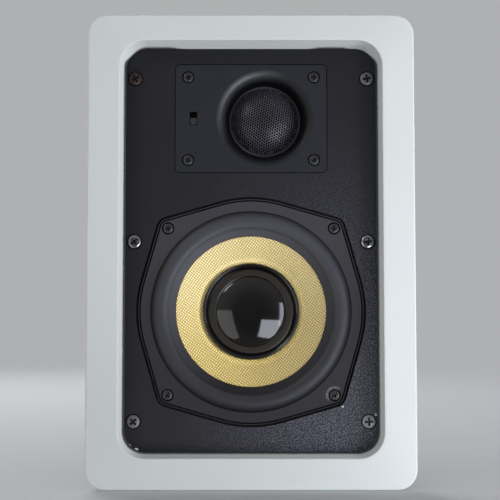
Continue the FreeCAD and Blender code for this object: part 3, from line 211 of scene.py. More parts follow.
class SpeakerStage(bpy.types.PropertyGroup):
    """Camera, lamps and floor."""

    camera: place("Camera", "Place of the camera", (-0.00067, -0.6741, -0.0401))
    tilt: FloatProperty(
        name="Tilt", description="How far the camera looks up", default=math.radians(3.397), subtype="ANGLE"
    )
    lens: FloatProperty(name="Lens", description="Focal length", default=75.24, unit="CAMERA")
    sky: light("Sky", "Light from the front and above", 0.56, 0.565, 0.59)
    ground: light("Ground", "Light from the front and below", 0.28, 0.275, 0.27)
    backdrop: light("Backdrop", "Even light from behind", 0.43, 0.435, 0.445)
    floor: colour("Floor", "Plain pale floor", 205, 206, 208)
    floor_level: length("Floor level", "Height of the floor", -153.2)
    floor_size: length("Floor size", "Half the width of the floor", 3000)
    daylight: light("Daylight", "Colour of the window lamp and its pane", 0.86, 0.9, 1.0)
    side_light: light("Side light", "Colour of the side lamp", 0.92, 0.95, 1.0)
    lamplight: light("Lamplight", "Colour of the other lamps", 1.0, 1.0, 1.0)
    window: place("Window", "Place of the bright window lamp", (0.42, -0.70, -0.44))
    window_power: power("Window power", "Power of the window lamp", 5.2)
    side: place("Side lamp", "Place of the wide lamp at the right", (0.75, -0.45, -0.12))
    side_power: power("Side power", "Power of the side lamp", 8.1)
    pane: place("Pane", "Place of the window's narrow pane", (0.65, -0.55, -0.1))
    pane_power: power("Pane power", "Power of the window's narrow pane", 1.7)
    lantern: place("Lantern", "Place of the small lamp at the upper left", (-0.62, -0.45, 0.6))
    lantern_power: power("Lantern power", "Power of the lantern", 1.8)
    fill: place("Fill lamp", "Place of the soft lamp at the lower left", (-0.8, -0.62, -0.42))
    fill_power: power("Fill power", "Power of the fill lamp", 4.2)
    back: place("Back lamp", "Place of the lamp behind", (-0.7, 1.2, 0.9))
    back_power: power("Back power", "Power of the back lamp", 14.0)


# Shader maths

class Signal:
    """A shader socket that takes part in sums like a number."""

    def __init__(self, finish, socket):
        self.finish = finish
        self.socket = socket

    def __add__(self, other):
        return self.finish.math("ADD", self, other)

    def __radd__(self, other):
        return self.finish.math("ADD", other, self)

    def __sub__(self, other):
        return self.finish.math("SUBTRACT", self, other)

    def __rsub__(self, other):
        return self.finish.math("SUBTRACT", other, self)

    def __mul__(self, other):
        return self.finish.math("MULTIPLY", self, other)

    def __rmul__(self, other):
        return self.finish.math("MULTIPLY", other, self)

    def __truediv__(self, other):
        return self.finish.math("DIVIDE", self, other)

    def __rtruediv__(self, other):
        return self.finish.math("DIVIDE", other, self)

    def __mod__(self, other):
        return self.finish.math("FLOORED_MODULO", self, other)

    def __rmod__(self, other):
        return self.finish.math("FLOORED_MODULO", other, self)

    def __neg__(self):
        return self.finish.math("MULTIPLY", self, -1)

    def __abs__(self):
        return self.finish.math("ABSOLUTE", self)


class Finish:
    """A procedural material under construction. Lengths in its maths are millimetres."""

    def __init__(self, name, tree=None):
        if tree is None:
            self.material = bpy.data.materials.new(name)
            self.material.use_nodes = True
            tree = self.material.node_tree
        self.tree = tree
        self.tree.nodes.clear()
        self.spot = None

    def node(self, kind, settings=None, sockets=None, output=0):
        """Make a node: its settings first, then what its sockets hold or are fed by."""
        made = self.tree.nodes.new(f"ShaderNode{kind}")
        for key, setting in (settings or {}).items():
            setattr(made, key, setting)
        for key, feed in (sockets or {}).items():
            target = made.inputs[key]
            if isinstance(feed, Signal):
                self.tree.links.new(feed.socket, target)
            elif hasattr(feed, "__len__") and target.type == "RGBA":
                target.default_value = (*feed[:3], 1)
            else:
                target.default_value = feed
        return Signal(self, made.outputs[output]) if made.outputs else made

    def math(self, operation, *terms):
        """One sum."""
        return self.node("Math", {"operation": operation}, dict(enumerate(terms)))

    def least(self, one, other):
        """The smaller of two values."""
        return self.math("MINIMUM", one, other)

    def most(self, one, other):
        """The larger of two values."""
        return self.math("MAXIMUM", one, other)

    def where(self):
        """The place on the piece, in millimetres."""
        if self.spot is None:
            place_on = self.node("TexCoord", output=3)
            self.spot = self.node("VectorMath", {"operation": "SCALE"}, {0: place_on, "Scale": 1 / MM})
        return self.spot

    def axes(self):
        """Right, into the wall and up, in millimetres."""
        split = self.node("SeparateXYZ", sockets={0: self.where()})
        outputs = split.socket.node.outputs
        return [Signal(self, outputs[index]) for index in range(3)]

    def radius(self, x, z, centre):
        """Distance from an axis into the wall."""
        across, up = x - centre[0] / MM, z - centre[1] / MM
        return self.math("SQRT", across * across + up * up)

    def noise(self, scale, detail):
        """Soft noise, 0 to 1, with about this many lumps to a millimetre."""
        return self.node("TexNoise", None, {"Vector": self.where(), "Scale": scale, "Detail": detail})

    def step(self, amount, low, high):
        """0 below low, 1 above high, smooth between them."""
        return self.node(
            "MapRange", {"interpolation_type": "SMOOTHSTEP"},
            {"Value": amount, "From Min": low, "From Max": high, "To Min": 0.0, "To Max": 1.0},
        )

    def band(self, amount, low, high, soft):
        """1 between low and high."""
        return self.step(amount, low - soft, low) * (1 - self.step(amount, high, high + soft))

    def mix(self, share, one, other):
        """From one colour to another."""
        return self.node(
            "Mix", {"data_type": "RGBA", "clamp_factor": True}, {0: share, 6: one, 7: other}, output=2
        )

    def shade(self, tone, amount):
        """A colour made lighter or darker by an amount about 1."""
        grey = self.node("CombineColor", None, {0: amount, 1: amount, 2: amount})
        return self.node(
            "Mix", {"data_type": "RGBA", "blend_type": "MULTIPLY"}, {0: 1.0, 6: tone, 7: grey}, output=2
        )

    def bump(self, height, depth, strength=1.0):
        """A normal from a height of 0 to 1 that stands for a depth in millimetres."""
        return self.node("Bump", None, {"Strength": strength, "Distance": depth * MM, "Height": height})

    def surface(self, tone, roughness, **more):
        """Close the material with its shader."""
        names = {
            "metallic": "Metallic", "normal": "Normal", "coat": "Coat Weight", "alpha": "Alpha",
            "coat_roughness": "Coat Roughness", "specular": "Specular IOR Level",
        }
        sockets = {"Base Color": tone, "Roughness": roughness}
        for key, feed in more.items():
            sockets[names[key]] = feed
        shader = self.node("BsdfPrincipled", None, sockets)
        self.node("OutputMaterial", None, {0: shader})
        return self.material


# Pieces

def dress(material, *nodes):
    """Give nodes of the frame a finish."""
    for name in nodes:
        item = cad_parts[name]
        if item.material_slots:
            item.material_slots[0].material = material
        else:
            item.data.materials.append(material)


def middle(node):
    """Across and up of the middle of a node."""
    low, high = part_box(node)
    return (low[0] + high[0]) / 2, (low[2] + high[2]) / 2


def new_piece(name, parts, material, smooth=35):
    """A mesh from lists of points and faces, with soft shading up to an angle."""
    shape = bmesh.new()
    for points, faces in parts:
        corners = [shape.verts.new(point) for point in points]
        for face in faces:
            if len(set(face)) > 2:
                shape.faces.new([corners[index] for index in face])
    bmesh.ops.remove_doubles(shape, verts=shape.verts, dist=1e-7)
    bmesh.ops.recalc_face_normals(shape, faces=shape.faces)
    return finish_piece(name, shape, material, smooth)


def finish_piece(name, shape, material, smooth):
    """Turn a bmesh into an object with a finish."""
    mesh = bpy.data.meshes.new(name)
    shape.to_mesh(mesh)
    shape.free()
    mesh.materials.append(material)
    mesh.shade_smooth()
    mesh.set_sharp_from_angle(angle=math.radians(smooth))
    item = bpy.data.objects.new(name, mesh)
    bpy.context.scene.collection.objects.link(item)
    return item


def settle(item, body, slot, *nodes):
    """Let a piece ride on a body in place of nodes. Its slot is not used."""
    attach(item, body)
    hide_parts(*nodes)


def flex(item, centre, moving, still, depth):
    """Let a ring flex between the moving cone and the basket: its inside moves, its outside stays."""
    start = (centre[0] + moving, depth, centre[1])
    end = (centre[0] + still, depth, centre[1])
    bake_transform(item, "woofer_moving", "root", start=start, end=end)
    weights = item.data.attributes["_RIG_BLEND"].data
    for vertex, weight in zip(item.data.vertices, weights):
        radius = math.hypot(vertex.co.x - centre[0], vertex.co.z - centre[1])
        share = max(0.0, min(1.0, (radius - moving) / (still - moving)))
        weight.value = share * share * (3 - 2 * share)


def lathe(profile, centre, segments):
    """A closed profile of (radius, depth) turned about an axis into the wall."""
    points = []
    for radius, depth in profile:
        for number in range(segments):
            angle = TURN * number / segments
            points.append((
                centre[0] + radius * math.cos(angle), depth, centre[1] + radius * math.sin(angle)
            ))
    return points, grid(len(profile), segments, closed=True)


def grid(rows, columns, closed=False):
    """Faces between rows of points that each run round a full turn."""
    faces = []
    for row in range(rows if closed else rows - 1):
        after = (row + 1) % rows
        for column in range(columns):
            beside = (column + 1) % columns
            faces.append((
                row * columns + column, after * columns + column,
                after * columns + beside, row * columns + beside,
            ))
    return faces


def curve(start, end, rise, steps):
    """Points from start to end along an arc that rises to the left of its chord."""
    chord = Vector(end) - Vector(start)
    side = Vector((-chord.y, chord.x)).normalized()
    half = chord.length / 2
    radius = (half**2 + rise**2) / (2 * rise)
    spread = math.asin(max(-1, min(1, half / radius)))
    points = []
    for number in range(steps + 1):
        angle = spread * (2 * number / steps - 1)
        along = radius * math.sin(angle) + half
        lift = radius * math.cos(angle) - (radius - rise)
        points.append(tuple(Vector(start) + chord.normalized() * along + side * lift))
    return points


def smooth_line(knots, steps):
    """Points on a smooth line through knots."""
    points = []
    padded = [knots[0], *knots, knots[-1]]
    for four in zip(padded, padded[1:], padded[2:], padded[3:]):
        for number in range(steps):
            points.append(tuple(on_way(*axis, number / steps) for axis in zip(*four)))
    points.append(tuple(knots[-1]))
    return points


def on_way(before, here, there, after, share):
    """A share of the way from here to there, on a smooth line through four values."""
    slope = there - before
    bend = 2 * before - 5 * here + 4 * there - after
    twist = 3 * here - before - 3 * there + after
    return 0.5 * (2 * here + slope * share + bend * share**2 + twist * share**3)


def cross_recess(angle, reach, half):
    """Radius of a cross-shaped outline at an angle from one of its arms."""
    lean = (angle + math.pi / 4) % (math.pi / 2) - math.pi / 4
    return min(reach / math.cos(lean), half / max(abs(math.sin(lean)), 1e-6))


def cross_angles(reach, half):
    """Angles round a screw head, with one at each corner of its cross."""
    corner = math.atan2(half, reach)
    quarter = [-corner, -corner / 2, 0, corner / 2, corner]
    quarter += [corner + (math.pi / 2 - 2 * corner) * share for share in (0.17, 0.34, 0.5, 0.66, 0.83)]
    return [turn * math.pi / 2 + angle for turn in range(4) for angle in quarter]


def screw(centre, head, shank, front, seat, tip, turn, thread=None, outward=-1):
    """A pan-head screw with a cross recess. Its head looks to the front, or to the back if outward is 1."""
    reach, half = head * RECESS_REACH, head * RECESS_HALF
    height = abs(seat - front)
    angles = cross_angles(reach, half)

    def even(radius, depth):
        return [(radius, depth)] * len(angles)

    def level(share):
        return front - outward * height * share

    if thread is None:
        long = abs(tip - seat) > 4 * shank
        point = shank * (LONG_POINT if long else SHORT_POINT)
        rings = [even(0.0, tip), even(shank * POINT_END, tip), even(shank, tip + outward * point)]
    else:
        rings = [even(0.0, tip), *threaded(angles, shank, seat, tip, *thread)]
    rings.append(even(shank, seat))
    for share, below in HEAD_OUTLINE:
        rings.append(even(head * share, level(below)))
    for share, below in RECESS_OUTLINE:
        rings.append([(share * cross_recess(angle, reach, half), level(below)) for angle in angles])
    rings.append(even(0.0, level(1)))
    points = []
    for ring in rings:
        for (radius, depth), angle in zip(ring, angles):
            across, up = radius * math.cos(angle + turn), radius * math.sin(angle + turn)
            points.append((centre[0] + across, depth, centre[1] + up))
    return points, grid(len(rings), len(angles))


def threaded(angles, radius, seat, tip, pitch, depth, finer=6):
    """Rings of a threaded shank, from its tip to just short of its seat."""
    rows = max(2, round(abs(tip - seat) / pitch * finer))
    rings = []
    for row in range(rows, 0, -1):
        along = (tip - seat) * row / rows
        ease = min(1, row / finer, (rows - row) / finer)
        ring = []
        for angle in angles:
            phase = (along / pitch - angle / TURN) % 1
            ring.append((radius - depth * ease * abs(2 * phase - 1), seat + along))
        rings.append(ring)
    return rings


def corners_of(node, reach):
    """Centres of four like round pieces, from the corners of the box round them."""
    low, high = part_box(node)
    return [
        (x, z)
        for z in (high[2] - reach, low[2] + reach)
        for x in (low[0] + reach, high[0] - reach)
    ]


# Finishes

def coated(name, tone, roughness=0.5, grain=2.0, depth=0.02, spread=0.25, specular=0.4):
    """Moulded or coated surface with a fine grain and slow tonal drift."""
    finish = Finish(name)
    fine = finish.noise(grain, 3)
    drift = finish.noise(0.03, 2)
    amount = 1 - spread / 2 + spread * (0.6 * fine + 0.4 * drift)
    return finish.surface(
        finish.shade(tone, amount), roughness - 0.06 + 0.12 * drift,
        normal=finish.bump(fine, depth), specular=specular,
    )


def turned_metal(name, tone, centre, roughness=0.32, rings=1.6):
    """Plated metal with faint turning rings about an axis."""
    finish = Finish(name)
    x, _, z = finish.axes()
    radius = finish.radius(x, z, centre)
    lines = finish.math("SINE", radius * (TURN * rings)) * 0.5 + 0.5
    stain = finish.step(finish.noise(0.16, 4), 0.52, 0.72)
    amount = 0.9 + 0.1 * lines - 0.1 * stain
    return finish.surface(
        finish.shade(tone, amount), roughness + 0.12 * stain + 0.05 * lines,
        metallic=0.9, normal=finish.bump(lines, 0.006),
    )


def plated(name, tone, patches, worn=0.6, roughness=0.38, metallic=0.85, head=None):
    """Plating with worn or rusty patches, and painted shade in the recess of a screw's head that starts at a
    depth.
    """
    finish = Finish(name)
    bare = finish.step(finish.noise(0.55, 4), worn, worn + 0.16)
    fine = finish.noise(3.0, 3)
    amount = 0.8 + 0.4 * fine
    # Painted shade in the recess of the screw's head.
    if head is not None:
        _, y, _ = finish.axes()
        amount = amount * (1 - 0.85 * finish.band(y - head / MM, *RECESS_DEPTHS, 0.4))
    return finish.surface(
        finish.shade(finish.mix(bare * 0.75, tone, patches), amount),
        roughness + 0.3 * bare + 0.1 * fine, metallic=metallic - 0.6 * bare,
        normal=finish.bump(fine, 0.015),
    )


# Operators

class Piece:
    """What the operators share."""

    bl_options = {"REGISTER", "UNDO"}


class SPEAKER_OT_stage(Piece, bpy.types.Operator):
    """Set the camera, the lamps and the floor"""

    bl_idname = "speaker.stage"
    bl_label = "Stage"

    # In millimetres: width of the camera's sensor, and distances between which the floor fades.
    sensor, fade = 36, (500, 1700)
    # The width and height of each lamp and the point that it looks at, in metres, and its colour.
    lamps = {
        "window": ((0.48, 0.44), (0, 0, -0.03), "daylight"),
        "side": ((0.4, 0.6), (0, 0, 0), "side_light"),
        "pane": ((0.15, 0.5), (0, 0, 0), "daylight"),
        "lantern": ((0.3, 0.3), (0, 0, 0), "lamplight"),
        "fill": ((1.0, 0.9), (0, 0, 0), "lamplight"),
        "back": ((1.2, 1.2), (0, 0.03, 0), "lamplight"),
    }

    def execute(self, context):
        scene = context.scene
        stage = scene.speaker_stage
        scene.view_settings.view_transform = "Standard"
        self.camera(scene, stage)
        self.studio(scene, stage)
        lamps = {name: self.lamp(scene, stage, name) for name in self.lamps}
        for name in ("window", "pane", "lantern"):
            lamps[name].visible_diffuse = False
        lamps["side"].visible_glossy = False
        self.keep_off(self.floor(stage), lamps["side"], lamps["fill"])
        return {"FINISHED"}

    def camera(self, scene, stage):
        """A camera that looks into the wall and a little up."""
        camera = bpy.data.objects.new("camera", bpy.data.cameras.new("camera"))
        camera.location = stage.camera
        camera.rotation_euler = (math.pi / 2 + stage.tilt, 0, 0)
        camera.data.lens = stage.lens
        camera.data.sensor_width = self.sensor
        scene.collection.objects.link(camera)
        scene.camera = camera

    def studio(self, scene, stage):
        """Even light from behind. In front it is brighter above and at the left, and dim round the camera."""
        scene.world = bpy.data.worlds.new("studio")
        scene.world.use_nodes = True
        sky = Finish("studio", scene.world.node_tree)
        aim = sky.node("TexCoord")
        across, into, up = (sky.node("SeparateXYZ", None, {0: aim}, output=index) for index in range(3))
        front = sky.mix(sky.step(up, -0.7, 0.7), stage.ground, stage.sky)
        front = sky.shade(front, (1 - 0.25 * across) * (0.45 + 0.55 * sky.step(into, -0.97, -0.68)))
        glow = sky.node("Background", None, {
            "Color": sky.mix(sky.step(into, -0.5, 0.35), front, stage.backdrop), "Strength": 1.0,
        })
        sky.node("OutputWorld", None, {0: glow})

    def lamp(self, scene, stage, name):
        """An area lamp that looks at a point and that the camera doesn't see."""
        size, target, tint = self.lamps[name]
        spot = Vector(getattr(stage, name))
        data = bpy.data.lights.new(name, "AREA")
        data.shape = "RECTANGLE"
        data.size, data.size_y = size
        data.energy = getattr(stage, f"{name}_power")
        data.color = getattr(stage, tint)
        item = bpy.data.objects.new(name, data)
        item.location = spot
        item.visible_camera = False
        item.rotation_euler = (Vector(target) - spot).to_track_quat("-Z", "Y").to_euler()
        scene.collection.objects.link(item)
        return item

    def keep_off(self, floor, *lamps):
        """Keep the light of low lamps off the floor, as a flag does in a studio."""
        flag = bpy.data.collections.new("flag")
        flag.objects.link(floor)
        flag.collection_objects[0].light_linking.link_state = "EXCLUDE"
        for lamp in lamps:
            lamp.light_linking.receiver_collection = flag

    def floor(self, stage):
        """A plain floor that fades into the sky."""
        finish = Finish("floor")
        x, y, _ = finish.axes()
        far = finish.step(finish.math("SQRT", x * x + y * y), *self.fade)
        grain = finish.noise(0.05, 2)
        material = finish.surface(
            finish.shade(stage.floor, 0.985 + 0.03 * grain), 0.9, specular=0.0, alpha=1 - far,
        )
        reach, level = stage.floor_size, stage.floor_level
        corners = ((-reach, -reach), (reach, -reach), (reach, reach), (-reach, reach))
        points = [(across, into, level) for across, into in corners]
        item = new_piece("floor", [(points, [(0, 1, 2, 3)])], material)
        item.visible_shadow = False
        item.visible_glossy = False
        return item


class SPEAKER_OT_bezel(Piece, bpy.types.Operator):
    """Paint the bezel white, with dark paint and painted shade at the foot of its recessed wall, and painted
    shade at the bottom and left
    """

    bl_idname = "speaker.bezel"
    bl_label = "Bezel"

    # Millimetres up, down and to the right between which the upper, lower and right walls begin.
    upper_wall, lower_wall, right_wall = (122, 131), (126, 131), (78, 84)
    # Millimetres outside the baffle between which the dark foot on the wall ends.
    wall_end = (1.2, 0.6)
    # Stains on the upper wall: middle, and the half widths at which they start to fade and end.
    stains = ((-62, 8, 20), (52, 6, 16))
    # Depths at which the dark foot of the wall, sprayed paint with painted shade, starts and is full, and how
    # much deeper it starts on each wall.
    spray_start, spray_full = 1.4, 5.2
    upper_delay, lower_delay, right_delay = 5.4, 0.8, 0.6
    # How far towards the bottom and the left, in millimetres, the painted shade on the paint reaches full
    # strength.
    ageing = 230

    def execute(self, context):
        colours = context.scene.speaker_colours
        finish = Finish("white_paint")
        x, y, z = finish.axes()
        low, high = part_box("baffle")
        half_width = (high[0] - low[0]) / 2 / MM
        half_height = (high[2] - low[2]) / 2 / MM
        centre = (high[2] + low[2]) / 2 / MM
        inside = finish.step(abs(x) - half_width, *self.wall_end)
        inside = inside * finish.step(abs(z - centre) - half_height, *self.wall_end)
        ragged = finish.noise(0.4, 4) * 1.6
        stained = sum(1 - finish.step(abs(x - spot), *fade) for spot, *fade in self.stains)
        delay = self.upper_delay * finish.step(z, *self.upper_wall) * (1 - 0.55 * stained)
        delay = delay + self.lower_delay * finish.step(-z, *self.lower_wall)
        delay = delay + self.right_delay * finish.step(x, *self.right_wall)
        # The wall's dark foot: sprayed paint, with painted shade in the corner where the wall meets the
        # baffle.
        spray = inside * finish.step(y + ragged - delay, self.spray_start, self.spray_full)
        drift = finish.noise(0.012, 2)
        fine = finish.noise(1.1, 2)
        # Painted shade: the white is darker towards the bottom and the left.
        aged = finish.step(-z - 0.7 * x, 0, self.ageing)
        tone = finish.shade(colours.white, 0.96 + 0.06 * drift + 0.02 * fine - 0.17 * aged)
        tone = finish.mix(spray * 0.95, tone, colours.overspray)
        dress(finish.surface(
            tone, 0.42 + 0.08 * drift + 0.15 * spray, normal=finish.bump(fine, 0.012), specular=0.45,
        ), "bezel_frame")
        return {"FINISHED"}


class SPEAKER_OT_baffle(Piece, bpy.types.Operator):
    """Give the baffle its fine black grain, paint specks and pale grains, painted sheen towards the lower
    right and painted shade in the trench
    """

    bl_idname = "speaker.baffle"
    bl_label = "Baffle"

    # Paint specks: across, up and radius in millimetres.
    specks = ((-78.7, -126.3, 1.3), (-74.1, -128.8, 1.4), (80.7, -106.4, 0.8), (59.4, -101.3, 0.7))
    # Depths in millimetres: where the front face ends, and the trench round the drivers, which is painted
    # dark as shade.
    face_end, trench = (7.6, 8.4), (7.75, 10.4)
    # Millimetres between which the pale grains with painted sheen, and the painted sheen, grow: both to the
    # right, and each of them downwards.
    to_right, dust_down, haze_down = (-60, 80), (-100, 120), (-190, 130)

    def execute(self, context):
        colours = context.scene.speaker_colours
        finish = Finish("black_baffle")
        x, y, z = finish.axes()
        grain = finish.noise(1.2, 1)
        coarse = finish.noise(0.5, 2)
        front = 1 - finish.step(y, *self.face_end)
        right = finish.step(x, *self.to_right) * front
        lower_right = right * finish.step(-z, *self.dust_down)
        # Pale grains: a few of dust all over, and many more towards the lower right as painted sheen.
        dust = finish.step(grain, 0.45, 0.64) * (0.02 + 0.9 * lower_right)
        # Painted sheen: the baffle is lighter towards the lower right.
        haze = 1 + 1.5 * right * finish.step(-z, *self.haze_down)
        # Painted shade in the trench round the drivers.
        sunk = finish.band(y, *self.trench, 0.2)
        plain = finish.shade(colours.baffle, (0.85 + 0.3 * coarse) * (1 - 0.9 * sunk) * haze)
        tone = finish.mix(dust, plain, colours.dust)
        for across, up, size in self.specks:
            off = finish.radius(x, z, (across * MM, up * MM)) + (coarse - 0.5) * 0.8
            tone = finish.mix((1 - finish.step(off, size * 0.55, size)) * front, tone, colours.white)
        dress(finish.surface(
            tone, 0.48 + 0.14 * coarse + 0.35 * sunk,
            normal=finish.bump(grain * (0.2 + 0.8 * lower_right), 0.1), specular=0.35,
        ), "baffle")
        return {"FINISHED"}


class SPEAKER_OT_woofer_frame(Piece, bpy.types.Operator):
    """Finish the woofer's basket, gasket and terminal strip"""

    bl_idname = "speaker.woofer_frame"
    bl_label = "Woofer frame"

    # In millimetres: depths of the flange's groove, painted dark as shade, and radii of the painted highlight
    # arc round the lower right seat.
    groove, scrape, scraped_seat = (7.8, 9.6), (4.1, 5.6), 3

    def execute(self, context):
        colours = context.scene.speaker_colours
        dress(self.flange(context), "woofer_basket")
        dress(coated(
            "gasket_foam", colours.foam, roughness=0.9, grain=2.5, depth=0.1, spread=0.5, specular=0.2,
        ), "woofer_gasket")
        dress(coated(
            "strip_resin", colours.resin, roughness=0.55, grain=1.2, spread=0.5,
        ), "woofer_terminal_strip")
        brass = plated("contact_brass", colours.brass, colours.rust, worn=0.68)
        dress(brass, "woofer_terminal_tabs", "terminal_contacts")
        return {"FINISHED"}

    def flange(self, context):
        """Charcoal coating with painted shade in its groove, painted light towards the top and a painted
        highlight at one screw seat.
        """
        colours = context.scene.speaker_colours
        finish = Finish("charcoal_flange")
        x, y, z = finish.axes()
        fine = finish.noise(1.8, 3)
        drift = finish.noise(0.03, 2)
        # Painted shade in the groove at the flange's edge.
        sunk = finish.band(y, *self.groove, 0.25)
        seat = corners_of("woofer_screws", context.scene.speaker_sizes.driver_head)[self.scraped_seat]
        lean = (seat[1] - seat[0]) / MM
        # Painted highlight: a ragged pale arc on the upper left of the lower right screw's seat.
        scraped = finish.band(finish.radius(x, z, seat), *self.scrape, 0.5) * finish.step(fine, 0.4, 0.6)
        scraped = scraped * finish.step(z - x - lean, -1, 4)
        # Painted light: the flange is lighter towards the top.
        dusty = 0.42 + 0.74 * finish.step(z, *DUST_RISE)
        amount = (0.86 + 0.14 * fine + 0.14 * drift) * (1 - 0.96 * sunk) * dusty
        tone = finish.mix(scraped * 0.5, finish.shade(colours.flange, amount), colours.bare)
        return finish.surface(
            tone, 0.52 + 0.08 * drift + 0.4 * sunk, normal=finish.bump(fine, 0.015), specular=0.3,
        )


class SPEAKER_OT_surround(Piece, bpy.types.Operator):
    """Make the woofer's rubber surround, which flexes between the cone and the basket"""

    bl_idname = "speaker.surround"
    bl_label = "Surround"

    # Steps over the roll, over the bead at the land's edge and under the roll.
    roll_steps, bead_steps, under_steps = 36, 4, 24
    # Millimetres outwards from the roll's outer and inner edges: the painted shade on the outer slope, and
    # where the land ends.
    outer_crease, land_end = (-6.4, 0.6), (-0.5, 1.5)
    # Millimetres towards the lower right over which the painted shadow of the roll on the land comes in.
    clean_land = 80

    def execute(self, context):
        sizes = context.scene.speaker_sizes
        low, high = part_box("woofer_surround")
        outer = (high[0] - low[0]) / 2 + sizes.surround_reach
        seat, crest, skin = high[1], low[1], sizes.skin
        inner = outer - sizes.surround_reach - sizes.roll_width
        bore = inner - sizes.land_width
        rise = seat - skin - crest
        bead = skin / 2
        lift = sizes.land_lift
        profile = curve((outer, seat - skin), (inner, seat - skin - lift), rise - lift / 2, self.roll_steps)
        profile += [(inner - bead, seat - skin - lift * 0.95), (bore + bead, seat - skin)]
        profile += curve((bore + bead, seat - skin), (bore, seat - skin + bead), skin * 0.14, self.bead_steps)
        profile += [(bore, seat), (inner + skin, seat)]
        profile += curve((inner + skin, seat), (outer - sizes.roll_foot, seat), -rise, self.under_steps)
        profile.append((outer, seat))
        centre = middle("woofer_surround")
        material = self.rubber(context, centre, outer, inner, bore)
        item = new_piece("surround", [lathe(profile, centre, sizes.segments)], material, smooth=50)
        flex(item, centre, inner, outer - sizes.roll_foot, seat)
        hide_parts("woofer_surround")
        return {"FINISHED"}

    def rubber(self, context, centre, outer, inner, bore):
        """Soft rubber, lighter towards the top as painted light, with a painted shadow on the land and
        painted shade in its creases.
        """
        colours = context.scene.speaker_colours
        finish = Finish("surround_rubber")
        x, _, z = finish.axes()
        radius = finish.radius(x, z, centre)
        fine = finish.noise(2.2, 3)
        drift = finish.noise(0.08, 3)
        # Painted shade in the crease at the roll's inner edge and along its outer slope.
        crease = finish.band(radius - inner / MM, -0.1, 0.1, 1.0) * 0.25
        crease = crease + finish.step(radius - outer / MM, *self.outer_crease) * 0.72
        land = 1 - finish.step(radius - inner / MM, *self.land_end)
        # Painted shadow of the roll on the land, towards the lower right.
        clean = land * finish.step(x - z, 0, self.clean_land)
        # Painted light: the rubber is lighter towards the top.
        dusty = 0.46 + 0.7 * finish.step(z, *DUST_RISE) - 0.4 * clean
        amount = (0.86 + 0.2 * drift + 0.08 * fine) * (1 - finish.least(crease, 1.0)) * dusty
        tone = finish.shade(colours.rubber, amount)
        edge = 1 - finish.step(radius - bore / MM, 0.05, 0.4)
        tone = finish.mix(edge * 0.8, tone, colours.glue)
        return finish.surface(tone, 0.42 + 0.16 * drift, normal=finish.bump(fine, 0.015), specular=0.3)


class SPEAKER_OT_cone(Piece, bpy.types.Operator):
    """Weave the woofer's cone"""

    bl_idname = "speaker.cone"
    bl_label = "Cone"

    # The weave's lean in degrees, and the heights in millimetres between which painted light makes its
    # threads paler towards the top.
    lean, bleach = 9, (-90, 15)
    # How much paler the cone is painted at the cap's edge, as painted light against the shade round the cap,
    # and over how many millimetres that fades.
    pale, pale_width = 0.65, 5
    # In millimetres: width of the glue line at the cap, and where the one inside the land starts and is full.
    cap_glue, land_glue = 0.3, (-0.25, -0.05)

    def execute(self, context):
        sizes = context.scene.speaker_sizes
        colours = context.scene.speaker_colours
        centre = middle("woofer_cone")
        finish = Finish("cone_weave")
        x, _, z = finish.axes()
        over, height = self.weave(finish, x, z, sizes.weave_pitch / MM)
        strand = finish.noise(0.9, 2)
        tone = finish.mix(finish.step(height, 0.05, 0.7), colours.thread_gap, colours.thread)
        # Painted light: the threads are paler and lighter towards the top.
        bleached = finish.step(z, *self.bleach)
        tone = finish.mix(bleached * 0.2, tone, colours.bleached_thread)
        tone = finish.shade(tone, (0.54 + 0.6 * over + 0.16 * strand) * (0.89 + 0.21 * bleached))
        radius = finish.radius(x, z, centre)
        low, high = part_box("dust_cap")
        cap = (high[0] - low[0]) / 2 / MM
        surround = (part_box("woofer_surround")[1][0] - centre[0]) / MM
        land = surround - (sizes.roll_width + sizes.land_width) / MM
        # Painted light round the cap, against the shade that the cap casts on the cone.
        away = finish.step(radius, cap, cap + self.pale_width)
        tone = finish.shade(tone, 1 + self.pale - self.pale * away)
        ragged = (finish.noise(0.35, 2) - 0.5) * 0.8
        glue = 1 - finish.step(radius + ragged * 0.4, cap, cap + self.cap_glue)
        glue = finish.most(glue, finish.step(radius - land, *self.land_glue))
        tone = finish.mix(glue * 0.85, tone, colours.glue)
        dress(finish.surface(
            tone, 0.46 - 0.1 * height, normal=finish.bump(height, 0.16, 0.7), specular=0.6,
        ), "woofer_cone")
        return {"FINISHED"}

    def weave(self, finish, x, z, pitch):
        """A plain weave: 1 where the warp lies over the weft, and the height of the threads, 0 to 1."""
        lean = math.radians(self.lean)
        wobble = finish.noise(0.25, 2) * 0.7
        warp = (x * math.cos(lean) + z * math.sin(lean)) / pitch + wobble
        weft = (z * math.cos(lean) - x * math.sin(lean)) / pitch + wobble
        over = (finish.math("FLOOR", warp) + finish.math("FLOOR", weft)) % 2
        along = finish.math("SINE", (warp % 1) * math.pi)
        cross = finish.math("SINE", (weft % 1) * math.pi)
        height = over * along * (0.55 + 0.45 * cross) + (1 - over) * cross * (0.55 + 0.45 * along)
        return over, height


